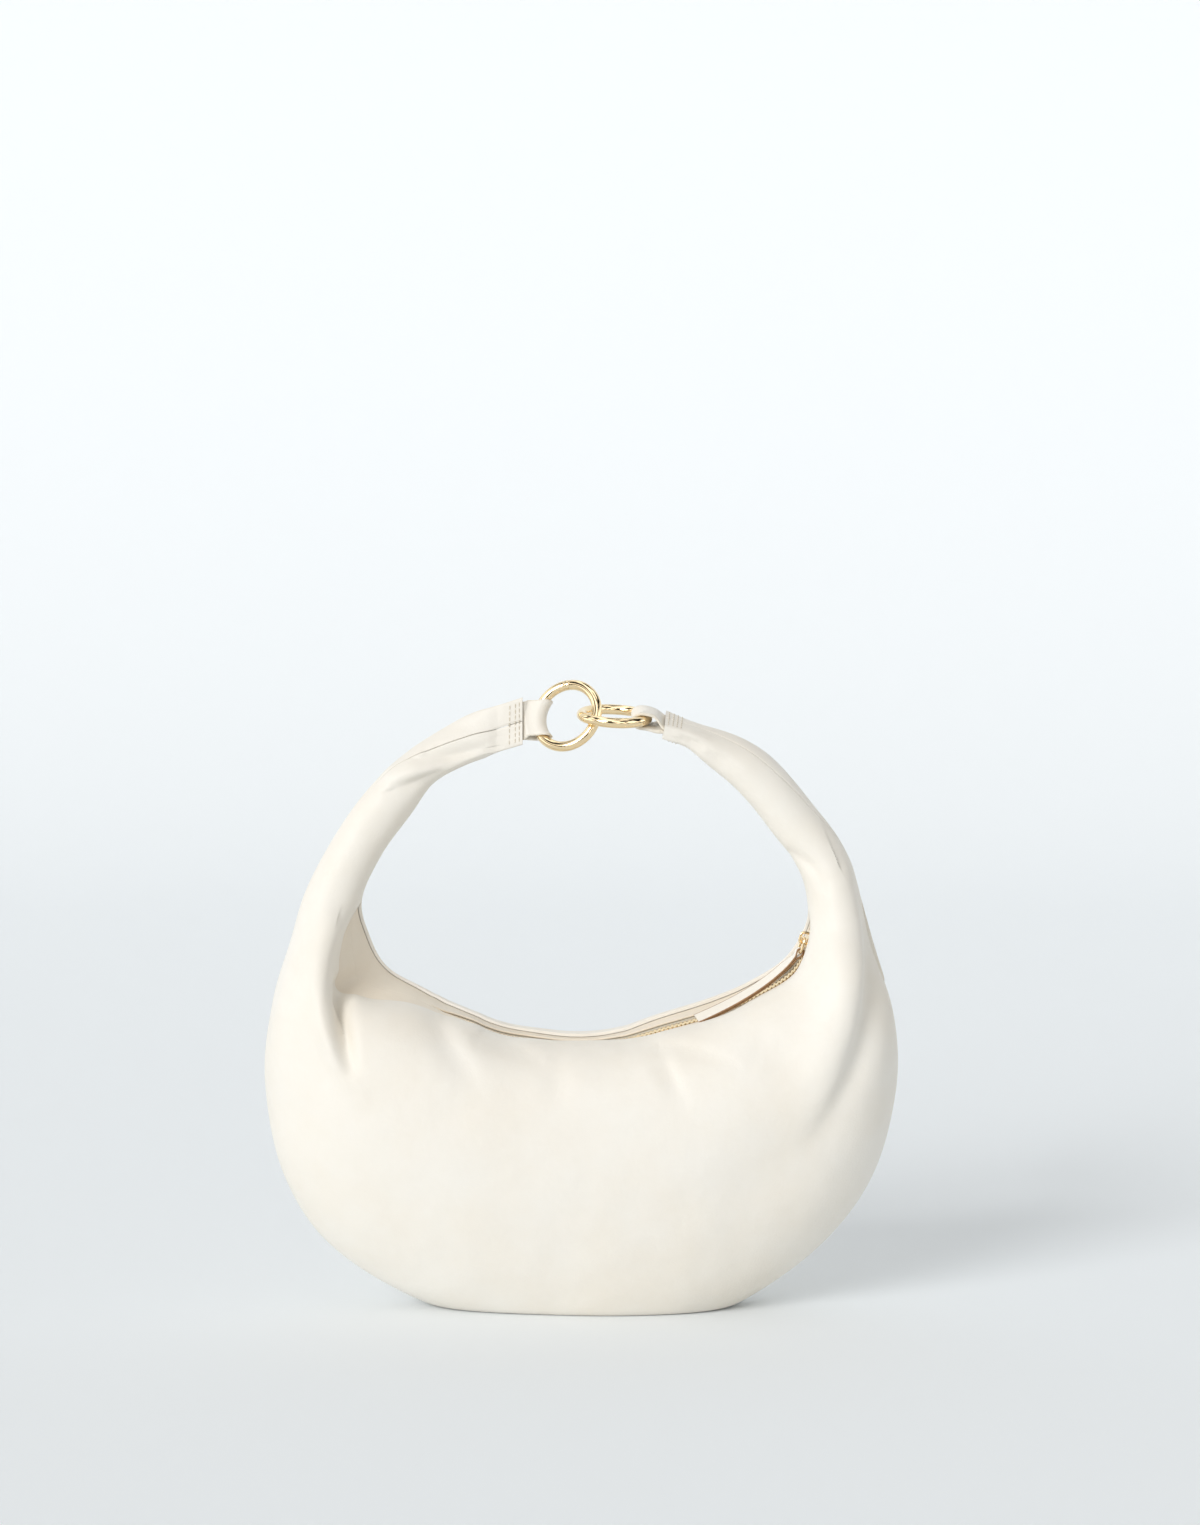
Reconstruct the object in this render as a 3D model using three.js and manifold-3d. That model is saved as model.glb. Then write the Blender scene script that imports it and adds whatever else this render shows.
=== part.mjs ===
// Ring handle bag: a soft crescent of pale leather. Two half shells are joined along the outer seam
// and along the inner seams of the arms. Each arm ends flat round a folded strap, and two linked
// rings join the straps. A zip with a leather pull closes the mouth between two leather facings.
// Millimetres. +X is right and +Z up for someone facing the front, +Y is the back. The origin is on
// the ground under the middle of the bag.
import * as THREE from 'three';
import { mergeVertices } from 'three/addons/utils/BufferGeometryUtils.js';
import Module from 'manifold-3d';

// Driving sizes of the leather body
const BAG_WIDTH = 340;
const ARM_HEIGHT = 330;
const BODY_DEPTH = 104;
const MOUTH_WIDTH = 28;
const MOUTH_SINK = 2;
const WALL = 1.8;
const GAP = 0.3;
const BASE_BLEND = 3;
const FOLD_HEIGHT = 6;
const FOLD_WIDTH = 20;

// Rings and the straps that hold them
const RING_OUTER = 40.5;
const RING_WIRE = 5.5;
const LINK_PLAY = 2.6;
const CHAIN_X = 4.7;
const CHAIN_LIFT = 3.5;
const LOOP_WIDTH = 20.5;
const LOOP_THICK = 1.8;
const LOOP_NECK_LEFT = 5.2;
const LOOP_NECK_RIGHT = 6.2;
const LOOP_TUCK = 8;

// Zip, its facings and its pull
const FACING_THICK = 1.2;
const ZIP_OPEN = 11;
const TAPE_THICK = 1;
const TAPE_LAP = 3;
const TEETH_WIDE = 5.6;
const TEETH_NARROW = 4.4;
const TEETH_THICK = 2.2;
const TEETH_PITCH = 2.4;
const SLIDER_LENGTH = 10;
const SLIDER_WIDTH = 8.4;
const SLIDER_PLATE = 1.2;
const BRIDGE_HEIGHT = 4.6;
const BRIDGE_WIDTH = 1.6;
const LINK_WIRE = 1.4;
const LINK_LENGTH = 9.6;
const LINK_PLAY_ASIDE = 0.5;
const PULL_LENGTH = 66;
const PULL_WIDTH = 6;
const PULL_THICK = 2.4;
const PULL_EYE = 0.5;
const PULL_EYE_WIDTH = 4.2;

const HALF_WIDTH = BAG_WIDTH / 2;
const RING_R = (RING_OUTER - RING_WIRE) / 2;
const TIP_HALF = LOOP_WIDTH / 2 + WALL + GAP * 2;
const TIP_THIN = LOOP_THICK + WALL + GAP * 2;

// The crescent's cross sections, from the left arm's end through the body to the right arm's end.
// inX, inZ, outX, outZ are the inner and outer seam, as shares of HALF_WIDTH and ARM_HEIGHT. depth is
// a share of BODY_DEPTH, rim and slide are shares of MOUTH_WIDTH / 2 and MOUTH_WIDTH: the rim's
// distance from the middle, and how far the front rim lies below the back one. twist is in degrees,
// full under 1 puts the fullest place nearer the mouth, tip is 1 where the arm is flat round its
// strap, and pull is how much the section follows the arm's end.
const SECTION_COLUMNS = [
  'inX', 'inZ', 'outX', 'outZ', 'depth', 'twist', 'rim', 'slide', 'full', 'tip', 'pull',
];
const SECTIONS = [
  [-0.189, 0.922, -0.189, 0.998, 0.23, -84, 0, 0, 1, 1, 1],
  [-0.268, 0.909, -0.268, 0.985, 0.24, -84, 0, 0, 1, 1, 1],
  [-0.342, 0.911, -0.380, 0.946, 0.24, -66, 0, 0, 1, 0.40, 0.9],
  [-0.462, 0.863, -0.546, 0.909, 0.24, -38, 0, 0, 1, 0.05, 0.6],
  [-0.540, 0.808, -0.663, 0.857, 0.24, -20, 0, 0, 1, 0, 0.3],
  [-0.630, 0.744, -0.769, 0.783, 0.24, -8, 0, 0, 1, 0, 0.1],
  [-0.694, 0.670, -0.868, 0.689, 0.29, 0, 0, 0, 1, 0, 0],
  [-0.672, 0.607, -0.920, 0.604, 0.43, 0, 0.55, 0.50, 1, 0, 0],
  [-0.613, 0.553, -0.977, 0.505, 0.62, 0, 0.95, 0.78, 1, 0, 0],
  [-0.508, 0.518, -1.004, 0.374, 0.80, 0, 1.10, 0.22, 0.95, 0, 0],
  [-0.355, 0.481, -0.944, 0.216, 0.93, 0, 1.00, 0.05, 0.90, 0, 0],
  [-0.228, 0.459, -0.778, 0.092, 0.98, 0, 0.90, 0.04, 0.86, 0, 0],
  [-0.102, 0.448, -0.450, -0.004, 1, 0, 0.80, 0.02, 0.82, 0, 0],
  [0.009, 0.445, -0.071, -0.045, 1, 0, 0.75, 0, 0.80, 0, 0],
  [0.120, 0.453, 0.184, -0.046, 1, 0, 0.78, 0.06, 0.82, 0, 0],
  [0.246, 0.475, 0.448, -0.008, 0.98, 0, 0.90, 0.17, 0.86, 0, 0],
  [0.411, 0.502, 0.732, 0.090, 0.93, 0, 0.95, 0.22, 0.90, 0, 0],
  [0.530, 0.529, 0.915, 0.211, 0.84, 0, 0.95, 0.19, 0.95, 0, 0],
  [0.641, 0.568, 0.993, 0.357, 0.70, 0, 0.80, 0.22, 1, 0, 0],
  [0.703, 0.621, 0.986, 0.480, 0.55, 0, 0.50, 0.10, 1, 0, 0],
  [0.714, 0.662, 0.917, 0.607, 0.37, 0, 0, 0, 1, 0, 0],
  [0.685, 0.720, 0.835, 0.745, 0.29, -8, 0, 0, 1, 0, 0.1],
  [0.595, 0.785, 0.720, 0.830, 0.27, -28, 0, 0, 1, 0, 0.3],
  [0.509, 0.845, 0.612, 0.892, 0.27, -41, 0, 0, 1, 0, 0.5],
  [0.427, 0.884, 0.518, 0.927, 0.26, -38, 0, 0, 1, 0.05, 0.7],
  [0.341, 0.915, 0.379, 0.957, 0.25, -12, 0, 0, 1, 0.45, 0.9],
  [0.256, 0.938, 0.270, 0.976, 0.22, -15, 0, 0, 1, 1, 1],
];
const LAST_ROW = SECTIONS.length - 1;
const row = (number) => number / LAST_ROW;

// Where the mouth's facings, the zip's tapes and its teeth start and end along the crescent
const FACING_FROM = row(6.5);
const FACING_TO = row(19.5);
const TAPE_FROM = row(8.7);
const ZIP_FROM = row(9.1);
const ZIP_TO = row(19.1);

// Folds and dents of the leather, each along a bend from its start through a middle point to its
// end, as shares of HALF_WIDTH and ARM_HEIGHT. view is -1 where it shows from the front and 1 from
// the back, wide is a share of FOLD_WIDTH and high of FOLD_HEIGHT, under 0 for a valley.
// The columns are view, x0, z0, x1, z1, x2, z2, wide and high.
const FOLDS = [
  [-1, -0.744, 0.545, -0.752, 0.476, -0.713, 0.400, 0.32, -0.95],
  [-1, -0.778, 0.629, -0.885, 0.492, -0.684, 0.385, 0.45, 0.50],
  [-1, -0.437, 0.482, -0.395, 0.445, -0.314, 0.388, 0.45, -0.25],
  [-1, 0.255, 0.433, 0.264, 0.413, 0.315, 0.369, 0.45, -0.25],
  [-1, 0.791, 0.715, 0.925, 0.513, 0.674, 0.312, 0.55, 0.65],
  [-1, 0.861, 0.690, 1.005, 0.508, 0.671, 0.285, 0.40, -0.85],
  [1, -0.650, 0.560, -0.720, 0.460, -0.690, 0.350, 0.60, -0.55],
  [1, -0.250, 0.420, -0.220, 0.360, -0.150, 0.300, 0.60, -0.30],
  [1, 0.330, 0.430, 0.330, 0.370, 0.380, 0.310, 0.60, -0.35],
  [1, 0.760, 0.600, 0.850, 0.450, 0.740, 0.260, 0.60, -0.60],
];

// Steps of the meshes
const ARM_STEPS = 6;
const MOUTH_STEPS = 30;
const ROUND_STEPS = 16;
const FOLD_STEPS = 12;
const RING_STEPS = 28;
const RING_SIDES = 8;

const clamp = (value, low, high) => Math.min(Math.max(value, low), high);
const mix = (a, b, share) => a + (b - a) * share;
const vec = (x, y, z) => new THREE.Vector3(x, y, z);
const smooth = (value) => THREE.MathUtils.smoothstep(value, 0, 1);

// Powers the size of a number and keeps its sign
const signedPower = (value, power) => Math.sign(value) * Math.abs(value) ** power;

// Reads one column of SECTIONS at s from 0 to 1, on a uniform Catmull-Rom curve through the rows
function column(name, s) {
  const index = SECTION_COLUMNS.indexOf(name);
  const at = clamp(s, 0, 1) * LAST_ROW;
  const i = Math.min(Math.floor(at), LAST_ROW - 1);
  const f = at - i;
  const p1 = SECTIONS[i][index];
  const p2 = SECTIONS[i + 1][index];
  const p0 = i > 0 ? SECTIONS[i - 1][index] : 2 * p1 - p2;
  const p3 = i + 2 <= LAST_ROW ? SECTIONS[i + 2][index] : 2 * p2 - p1;
  const square = 2 * p0 - 5 * p1 + 4 * p2 - p3;
  const cube = 3 * p1 - p0 - 3 * p2 + p3;
  return 0.5 * (2 * p1 + (p2 - p0) * f + square * f * f + cube * f * f * f);
}

// Ring 1 stands up and leans, ring 2 lies nearly level: each has two directions in its plane
const degrees = THREE.MathUtils.degToRad;
const RING_1_AXIS = degrees(45);
const RING_1_LEAN = degrees(36);
const RING_2_SLOPE = degrees(3);
const RING_2_LEAN = degrees(7);
const RING_1_Y = -2;
const RING_2_Y = RING_1_Y - RING_WIRE * 0.65;
const ring1Long = vec(Math.cos(RING_1_AXIS), 0, Math.sin(RING_1_AXIS));
const ring1Short = vec(
  -Math.sin(RING_1_AXIS) * Math.cos(RING_1_LEAN),
  Math.sin(RING_1_LEAN),
  Math.cos(RING_1_AXIS) * Math.cos(RING_1_LEAN),
);
const ring2Long = vec(Math.cos(RING_2_SLOPE), 0, -Math.sin(RING_2_SLOPE));
const ring2Short = vec(0, Math.cos(RING_2_LEAN), Math.sin(RING_2_LEAN));

// Ring 1's reach to the left: the most that its centreline goes from its centre along X
const ring1Angle = Math.PI + Math.atan2(ring1Short.x, ring1Long.x);
const RING_1_REACH = RING_R * Math.hypot(ring1Long.x, ring1Short.x);
const RING_2_REACH = RING_R * ring2Long.x;

// The chain of both rings stands centred on CHAIN_X, and each arm's end keeps its strap's neck away
const ringStep = RING_1_REACH + RING_2_REACH - RING_WIRE - LINK_PLAY;
const chainHeight = ARM_HEIGHT * (SECTIONS[0][1] + SECTIONS[0][3]) / 2 + CHAIN_LIFT;
const ring1Centre = vec(CHAIN_X - ringStep / 2, RING_1_Y, chainHeight);
const ring2Centre = vec(CHAIN_X + ringStep / 2, RING_2_Y, chainHeight);
const LEFT_TIP_X = ring1Centre.x - RING_1_REACH - RING_WIRE / 2 - LOOP_NECK_LEFT;
const RIGHT_TIP_X = ring2Centre.x + RING_2_REACH + RING_WIRE / 2 + LOOP_NECK_RIGHT;
const leftHold = ringPoint(ring1Centre, ring1Long, ring1Short, ring1Angle);
const rightHold = ringPoint(ring2Centre, ring2Long, ring2Short, 0);
const TIP_MOVES = [
  vec(LEFT_TIP_X - SECTIONS[0][0] * HALF_WIDTH, leftHold.touch.y, 0),
  vec(RIGHT_TIP_X - (SECTIONS[LAST_ROW][0] + SECTIONS[LAST_ROW][2]) / 2 * HALF_WIDTH, rightHold.touch.y, 0),
];

// A point of a ring's centreline, with the direction to the ring's centre and along the wire
function ringPoint(centre, long, short, angle) {
  const out = long.clone().multiplyScalar(Math.cos(angle)).addScaledVector(short, Math.sin(angle));
  const wireAlong = long.clone().multiplyScalar(-Math.sin(angle)).addScaledVector(short, Math.cos(angle));
  return { touch: centre.clone().addScaledVector(out, RING_R), inward: out.negate(), wireAlong };
}

// Everything that one cross section needs: its middle, its two directions and its half sizes
function section(s) {
  const move = TIP_MOVES[s < 0.5 ? 0 : 1].clone().multiplyScalar(clamp(column('pull', s), 0, 1));
  const inner = vec(column('inX', s) * HALF_WIDTH, 0, column('inZ', s) * ARM_HEIGHT).add(move);
  const outer = vec(column('outX', s) * HALF_WIDTH, 0, column('outZ', s) * ARM_HEIGHT).add(move);
  const chord = outer.clone().sub(inner);
  const length = chord.length();
  chord.divideScalar(length);
  const twist = degrees(column('twist', s));
  const tip = clamp(column('tip', s), 0, 1);
  return {
    middle: inner.add(outer).multiplyScalar(0.5),
    along: chord.clone().multiplyScalar(Math.cos(twist)).add(vec(0, Math.sin(twist), 0)),
    aside: chord.multiplyScalar(-Math.sin(twist)).add(vec(0, Math.cos(twist), 0)),
    half: mix(length / 2, TIP_THIN, tip),
    deep: mix(column('depth', s) * BODY_DEPTH / 2, TIP_HALF, tip),
    rim: Math.max(column('rim', s), 0) * MOUTH_WIDTH / 2,
    slide: Math.max(column('slide', s), 0) * MOUTH_WIDTH,
    full: column('full', s),
    tip,
  };
}

// A point of the plain shell: s along the crescent, t from the mouth or inner seam to the outer
// seam, side -1 for the front half and 1 for the back, inset the depth below the outer face
function plain(s, t, side, inset) {
  const c = section(s);
  const half = c.half - inset;
  const slide = side < 0 ? c.slide : 0;
  const square = 1 - 0.8 * c.tip;
  const turn = signedPower(Math.cos(Math.PI * t), square);
  const w = -half + slide + (2 * half - slide) * (1 - turn) / 2;
  const bulge = (c.deep - inset) * Math.sin(Math.PI * clamp(t, 0, 1) ** c.full) ** square;
  const yy = Math.max(c.rim * (1 - t) ** 2 + (bulge || 0), GAP / 2);
  return c.middle.clone().addScaledVector(c.along, w).addScaledVector(c.aside, side * yy);
}

// How far the folds lift the leather at a point whose outward normal is given
function foldLift(point, normal) {
  let lift = 0;
  for (const [view, x0, z0, x1, z1, x2, z2, wide, high] of FOLDS) {
    const facing = smooth(0.5 + normal.y * view);
    let nearest = Infinity;
    let place = 0;
    for (let k = 0; k <= FOLD_STEPS; k += 1) {
      const u = k / FOLD_STEPS;
      const x = ((1 - u) ** 2 * x0 + 2 * u * (1 - u) * x1 + u * u * x2) * HALF_WIDTH;
      const z = ((1 - u) ** 2 * z0 + 2 * u * (1 - u) * z1 + u * u * z2) * ARM_HEIGHT;
      const distance = Math.hypot(point.x - x, point.z - z);
      if (distance < nearest) {
        nearest = distance;
        place = u;
      }
    }
    const fade = Math.sin(Math.PI * mix(0.12, 0.88, place));
    const across = nearest / (wide * FOLD_WIDTH);
    lift += high * FOLD_HEIGHT * facing * fade * Math.exp(-across * across);
  }
  return lift;
}

// The finished shell: the plain one, moved by the folds and flattened where it rests
function skin(s, t, side, inset) {
  const step = 0.002;
  const s0 = clamp(s - step, 0, 1);
  const s1 = clamp(s + step, 0, 1);
  const t0 = clamp(t - step, 0, 1);
  const t1 = clamp(t + step, 0, 1);
  const alongS = plain(s1, t, side, 0).sub(plain(s0, t, side, 0));
  const alongT = plain(s, t1, side, 0).sub(plain(s, t0, side, 0));
  const normal = alongS.cross(alongT).normalize().multiplyScalar(side);
  const lift = foldLift(plain(s, t, side, 0), normal);
  const point = plain(s, t, side, inset).addScaledVector(normal, lift);
  const { middle, aside } = section(s);
  const offSeam = side * point.clone().sub(middle).dot(aside);
  point.addScaledVector(aside, side * Math.max(GAP / 2 - offSeam, 0));
  point.z = inset + restOnGround(point.z - inset);
  return point;
}

// Heights under the ground become 0, with a round change over BASE_BLEND on both sides of it
function restOnGround(z) {
  if (z <= -BASE_BLEND) {
    return 0;
  }
  return z < BASE_BLEND ? (z + BASE_BLEND) ** 2 / (4 * BASE_BLEND) : z;
}

// A closed solid from two grids of points, upper[i][j] and lower[i][j], joined round their edges
function slab(upper, lower) {
  const rows = upper.length;
  const columns = upper[0].length;
  const points = [...upper.flat(), ...lower.flat()];
  const top = (i, j) => i * columns + j;
  const bottom = (i, j) => rows * columns + i * columns + j;
  const faces = [];
  const quad = (a, b, c, d) => faces.push(a, b, c, a, c, d);
  for (let i = 0; i < rows - 1; i += 1) {
    for (let j = 0; j < columns - 1; j += 1) {
      quad(top(i, j), top(i + 1, j), top(i + 1, j + 1), top(i, j + 1));
      quad(bottom(i, j), bottom(i, j + 1), bottom(i + 1, j + 1), bottom(i + 1, j));
    }
    const end = columns - 1;
    quad(top(i, 0), bottom(i, 0), bottom(i + 1, 0), top(i + 1, 0));
    quad(top(i, end), top(i + 1, end), bottom(i + 1, end), bottom(i, end));
  }
  for (let j = 0; j < columns - 1; j += 1) {
    const end = rows - 1;
    quad(top(0, j), top(0, j + 1), bottom(0, j + 1), bottom(0, j));
    quad(top(end, j), bottom(end, j), bottom(end, j + 1), top(end, j + 1));
  }
  return facingOut(points, faces);
}

// Makes the geometry, turned inside out if its volume comes out negative
function facingOut(points, faces) {
  let volume = 0;
  for (let k = 0; k < faces.length; k += 3) {
    const [a, b, c] = [points[faces[k]], points[faces[k + 1]], points[faces[k + 2]]];
    volume += a.dot(b.clone().cross(c));
  }
  const index = volume > 0 ? faces : faces.toReversed();
  const geometry = new THREE.BufferGeometry();
  geometry.setAttribute('position', new THREE.Float32BufferAttribute(points.flatMap((p) => p.toArray()), 3));
  geometry.setIndex(index);
  geometry.computeVertexNormals();
  return geometry;
}

// Even steps from one value to another, both ends included
const steps = (from, to, count) => Array.from({ length: count + 1 }, (_, k) => mix(from, to, k / count));
const MOUTH_STATIONS = steps(FACING_FROM, FACING_TO, MOUTH_STEPS);
const STATIONS = [
  0,
  ...steps(row(1), FACING_FROM, ARM_STEPS).slice(0, -1),
  ...MOUTH_STATIONS,
  ...steps(FACING_TO, row(LAST_ROW - 1), ARM_STEPS).slice(1),
  1,
];

// One half shell of the body and both arms
function panel(side) {
  const round = steps(0, 1, ROUND_STEPS);
  const face = (inset) => STATIONS.map((s) => round.map((t) => skin(s, t, side, inset)));
  return slab(face(0), face(WALL));
}

// The mouth at s: its centre, the directions along, across to the back and up, and its half width
function mouth(s) {
  const rimPoint = (at, side) => skin(at, 0, side, WALL + GAP + FACING_THICK);
  const centreAt = (at) => rimPoint(at, -1).add(rimPoint(at, 1)).multiplyScalar(0.5);
  const across = rimPoint(s, 1).sub(rimPoint(s, -1));
  const half = across.length() / 2;
  across.normalize();
  const ahead = centreAt(s + 0.004).sub(centreAt(s - 0.004)).normalize();
  const up = ahead.clone().cross(across).normalize();
  return { centre: centreAt(s).addScaledVector(up, -MOUTH_SINK), ahead, across, up, half };
}

const mouthPoint = (m, across, up) => m.centre.clone().addScaledVector(m.across, across).addScaledVector(m.up, up);

// How far a facing's free edge stands from the mouth's middle: clear of the zip, or closed past it
function facingEdge(s) {
  const ease = row(0.6);
  const open = smooth((s - ZIP_FROM + ease) / ease) * smooth((ZIP_TO + ease * 2 - s) / ease);
  return mix(GAP / 2, ZIP_OPEN / 2, open);
}

// A leather strip from under the rim, where it is sewn, to the edge of the zip. tucks says how far
// under the panel it goes, as shares of the panel's first step away from the rim.
function facing(side) {
  const tucks = [0.3, 0.15, 0];
  const face = (depth) => MOUTH_STATIONS.map((s) => {
    const m = mouth(s);
    const edge = Math.min(facingEdge(s), m.half - GAP);
    const rise = TAPE_THICK / 2 + GAP + FACING_THICK - depth;
    const rim = skin(s, 0, side, WALL + GAP + depth);
    const shoulder = skin(s, 1 / ROUND_STEPS, side, WALL + GAP + depth);
    const under = tucks.map((share) => rim.clone().lerp(shoulder, share));
    const free = mouthPoint(m, side * edge, rise);
    const half = under[tucks.length - 1].clone().lerp(free, 0.55).addScaledVector(m.up, -MOUTH_SINK * 0.15);
    return [...under, half, free];
  });
  return slab(face(0), face(FACING_THICK));
}

// Length along the mouth's middle, by which the teeth are spaced and the slider and pull placed
const mouthLine = (() => {
  const steps = 160;
  const from = TAPE_FROM;
  const to = FACING_TO;
  const marks = [{ s: from, length: 0 }];
  let last = mouth(from).centre;
  for (let k = 1; k <= steps; k += 1) {
    const s = mix(from, to, k / steps);
    const here = mouth(s).centre;
    marks.push({ s, length: marks[k - 1].length + here.distanceTo(last) });
    last = here;
  }
  return {
    place(length) {
      const k = clamp(marks.findIndex((mark) => mark.length >= length), 1, steps);
      const [a, b] = [marks[k - 1], marks[k]];
      return mix(a.s, b.s, (length - a.length) / (b.length - a.length));
    },
    lengthTo(s) {
      const k = clamp(marks.findIndex((mark) => mark.s >= s), 1, steps);
      const [a, b] = [marks[k - 1], marks[k]];
      return mix(a.length, b.length, (s - a.s) / (b.s - a.s));
    },
  };
})();
const ZIP_START = mouthLine.lengthTo(ZIP_FROM);
const ZIP_LENGTH = mouthLine.lengthTo(ZIP_TO) - ZIP_START;

// One side of the zip's woven tape, from under its facing to the teeth
function tape(side) {
  const reach = SLIDER_LENGTH / 2;
  const inner = TEETH_WIDE / 2 + GAP;
  const face = (up) => steps(0, ZIP_START + ZIP_LENGTH + reach, MOUTH_STEPS).map((length) => {
    const m = mouth(mouthLine.place(length));
    const outer = Math.min(ZIP_OPEN / 2 + TAPE_LAP, Math.max(m.half, ZIP_OPEN / 2 + GAP * 2));
    return [inner, outer].map((across) => mouthPoint(m, side * across, up));
  });
  return slab(face(TAPE_THICK / 2), face(-TAPE_THICK / 2));
}

// The closed row of teeth: a bar that is wide at each tooth and narrow between two
function teeth() {
  const count = Math.floor(ZIP_LENGTH / TEETH_PITCH);
  const face = (up) => Array.from({ length: count * 2 + 1 }, (_, i) => {
    const m = mouth(mouthLine.place(ZIP_START + i * TEETH_PITCH / 2));
    const wide = i % 2 === 0 ? TEETH_NARROW : TEETH_WIDE;
    const rise = i % 2 === 0 ? up * TEETH_NARROW / TEETH_WIDE : up;
    return [-wide / 2, wide / 2].map((across) => mouthPoint(m, across, rise));
  });
  return slab(face(TEETH_THICK / 2), face(-TEETH_THICK / 2));
}

// Joins closed geometries into one solid, and cuts others out of it
const wasm = await Module();
wasm.setup();
function toManifold(geometry) {
  const bare = geometry.clone();
  bare.deleteAttribute('normal');
  bare.deleteAttribute('uv');
  const merged = mergeVertices(bare, 1e-4);
  return new wasm.Manifold(new wasm.Mesh({
    numProp: 3,
    vertProperties: Float32Array.from(merged.attributes.position.array),
    triVerts: Uint32Array.from(merged.index.array),
  }));
}
function join(parts) {
  const mesh = parts.map(toManifold).reduce((whole, part) => whole.add(part)).getMesh();
  const geometry = new THREE.BufferGeometry();
  geometry.setAttribute('position', new THREE.Float32BufferAttribute(mesh.vertProperties, 3));
  geometry.setIndex([...mesh.triVerts]);
  geometry.computeVertexNormals();
  return geometry;
}

const block = (length, width, height, x, y, z) => new THREE.BoxGeometry(length, width, height).translate(x, y, z);

// A slider's plate: wide at its nose, narrower at its tail, in the plane of the zip
function sliderPlate(z) {
  const nose = SLIDER_LENGTH / 2;
  const wide = SLIDER_WIDTH / 2;
  const outline = new THREE.Shape();
  outline.moveTo(-nose, -wide * 0.7);
  outline.lineTo(nose * 0.3, -wide);
  outline.lineTo(nose * 0.8, -wide * 0.8);
  outline.lineTo(nose, -wide * 0.4);
  outline.lineTo(nose, wide * 0.4);
  outline.lineTo(nose * 0.8, wide * 0.8);
  outline.lineTo(nose * 0.3, wide);
  outline.lineTo(-nose, wide * 0.7);
  return new THREE.ExtrudeGeometry(outline, { depth: SLIDER_PLATE, bevelEnabled: false }).translate(0, 0, z);
}

// The slider: two plates round the teeth, a post between them and a bridge that holds the link
const SLIDER_INNER = TEETH_THICK / 2 + GAP;
const SLIDER_TOP = SLIDER_INNER + SLIDER_PLATE;
const POST_LENGTH = SLIDER_LENGTH * 0.28;
function slider() {
  const postX = SLIDER_LENGTH / 2 - POST_LENGTH / 2;
  const legX = SLIDER_LENGTH * 0.3;
  const legHeight = BRIDGE_HEIGHT + SLIDER_PLATE / 2;
  const legZ = SLIDER_TOP - SLIDER_PLATE / 2 + legHeight / 2;
  const beamZ = SLIDER_TOP + BRIDGE_HEIGHT - 0.5;
  return join([
    sliderPlate(SLIDER_INNER),
    sliderPlate(-SLIDER_TOP),
    block(POST_LENGTH, BRIDGE_WIDTH, SLIDER_INNER * 2 + SLIDER_PLATE, postX, 0, 0),
    block(1, BRIDGE_WIDTH, legHeight, -legX, 0, legZ),
    block(1, BRIDGE_WIDTH, legHeight, legX, 0, legZ),
    block(legX * 2 + 1, BRIDGE_WIDTH, 1, 0, 0, beamZ),
  ]);
}

// Length along the mouth where the slider's middle sits, so that its post stops the last tooth
const TEETH_END = ZIP_START + Math.floor(ZIP_LENGTH / TEETH_PITCH) * TEETH_PITCH;
const SLIDER_AT = TEETH_END + GAP - SLIDER_LENGTH / 2 + POST_LENGTH;
const LINK_RISE = SLIDER_TOP + (BRIDGE_HEIGHT - 1) / 2;
const LINK_BACK = LINK_LENGTH / 2 - LINK_WIRE / 2;
const LINK_BREADTH = PULL_EYE_WIDTH + 2 * (LINK_PLAY_ASIDE + LINK_WIRE);

// Turns what is drawn with x along the mouth, y across and z up to its place on the mouth
function atMouth(geometry, length) {
  const m = mouth(mouthLine.place(length));
  const aside = m.up.clone().cross(m.ahead).normalize();
  const matrix = new THREE.Matrix4().makeBasis(m.ahead, aside, m.up).setPosition(m.centre);
  return geometry.applyMatrix4(matrix);
}

// The link between the slider's bridge and the pull's eye: a flat frame of square wire
function pullLink() {
  const outline = new THREE.Shape();
  frameLine(outline, LINK_LENGTH / 2, LINK_BREADTH / 2, LINK_WIRE * 0.8);
  const inside = new THREE.Path();
  frameLine(inside, LINK_LENGTH / 2 - LINK_WIRE, LINK_BREADTH / 2 - LINK_WIRE, LINK_WIRE * 0.3);
  outline.holes.push(inside);
  const link = new THREE.ExtrudeGeometry(outline, { depth: LINK_WIRE, bevelEnabled: false });
  return link.translate(-LINK_BACK, 0, LINK_RISE - LINK_WIRE / 2);
}

// A rectangle with its corners cut, as the line of a shape or of a hole
function frameLine(line, halfLength, halfWidth, cut) {
  line.moveTo(-halfLength + cut, -halfWidth);
  line.lineTo(halfLength - cut, -halfWidth);
  line.lineTo(halfLength, -halfWidth + cut);
  line.lineTo(halfLength, halfWidth - cut);
  line.lineTo(halfLength - cut, halfWidth);
  line.lineTo(-halfLength + cut, halfWidth);
  line.lineTo(-halfLength, halfWidth - cut);
  line.lineTo(-halfLength, -halfWidth + cut);
  line.closePath();
}

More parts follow.
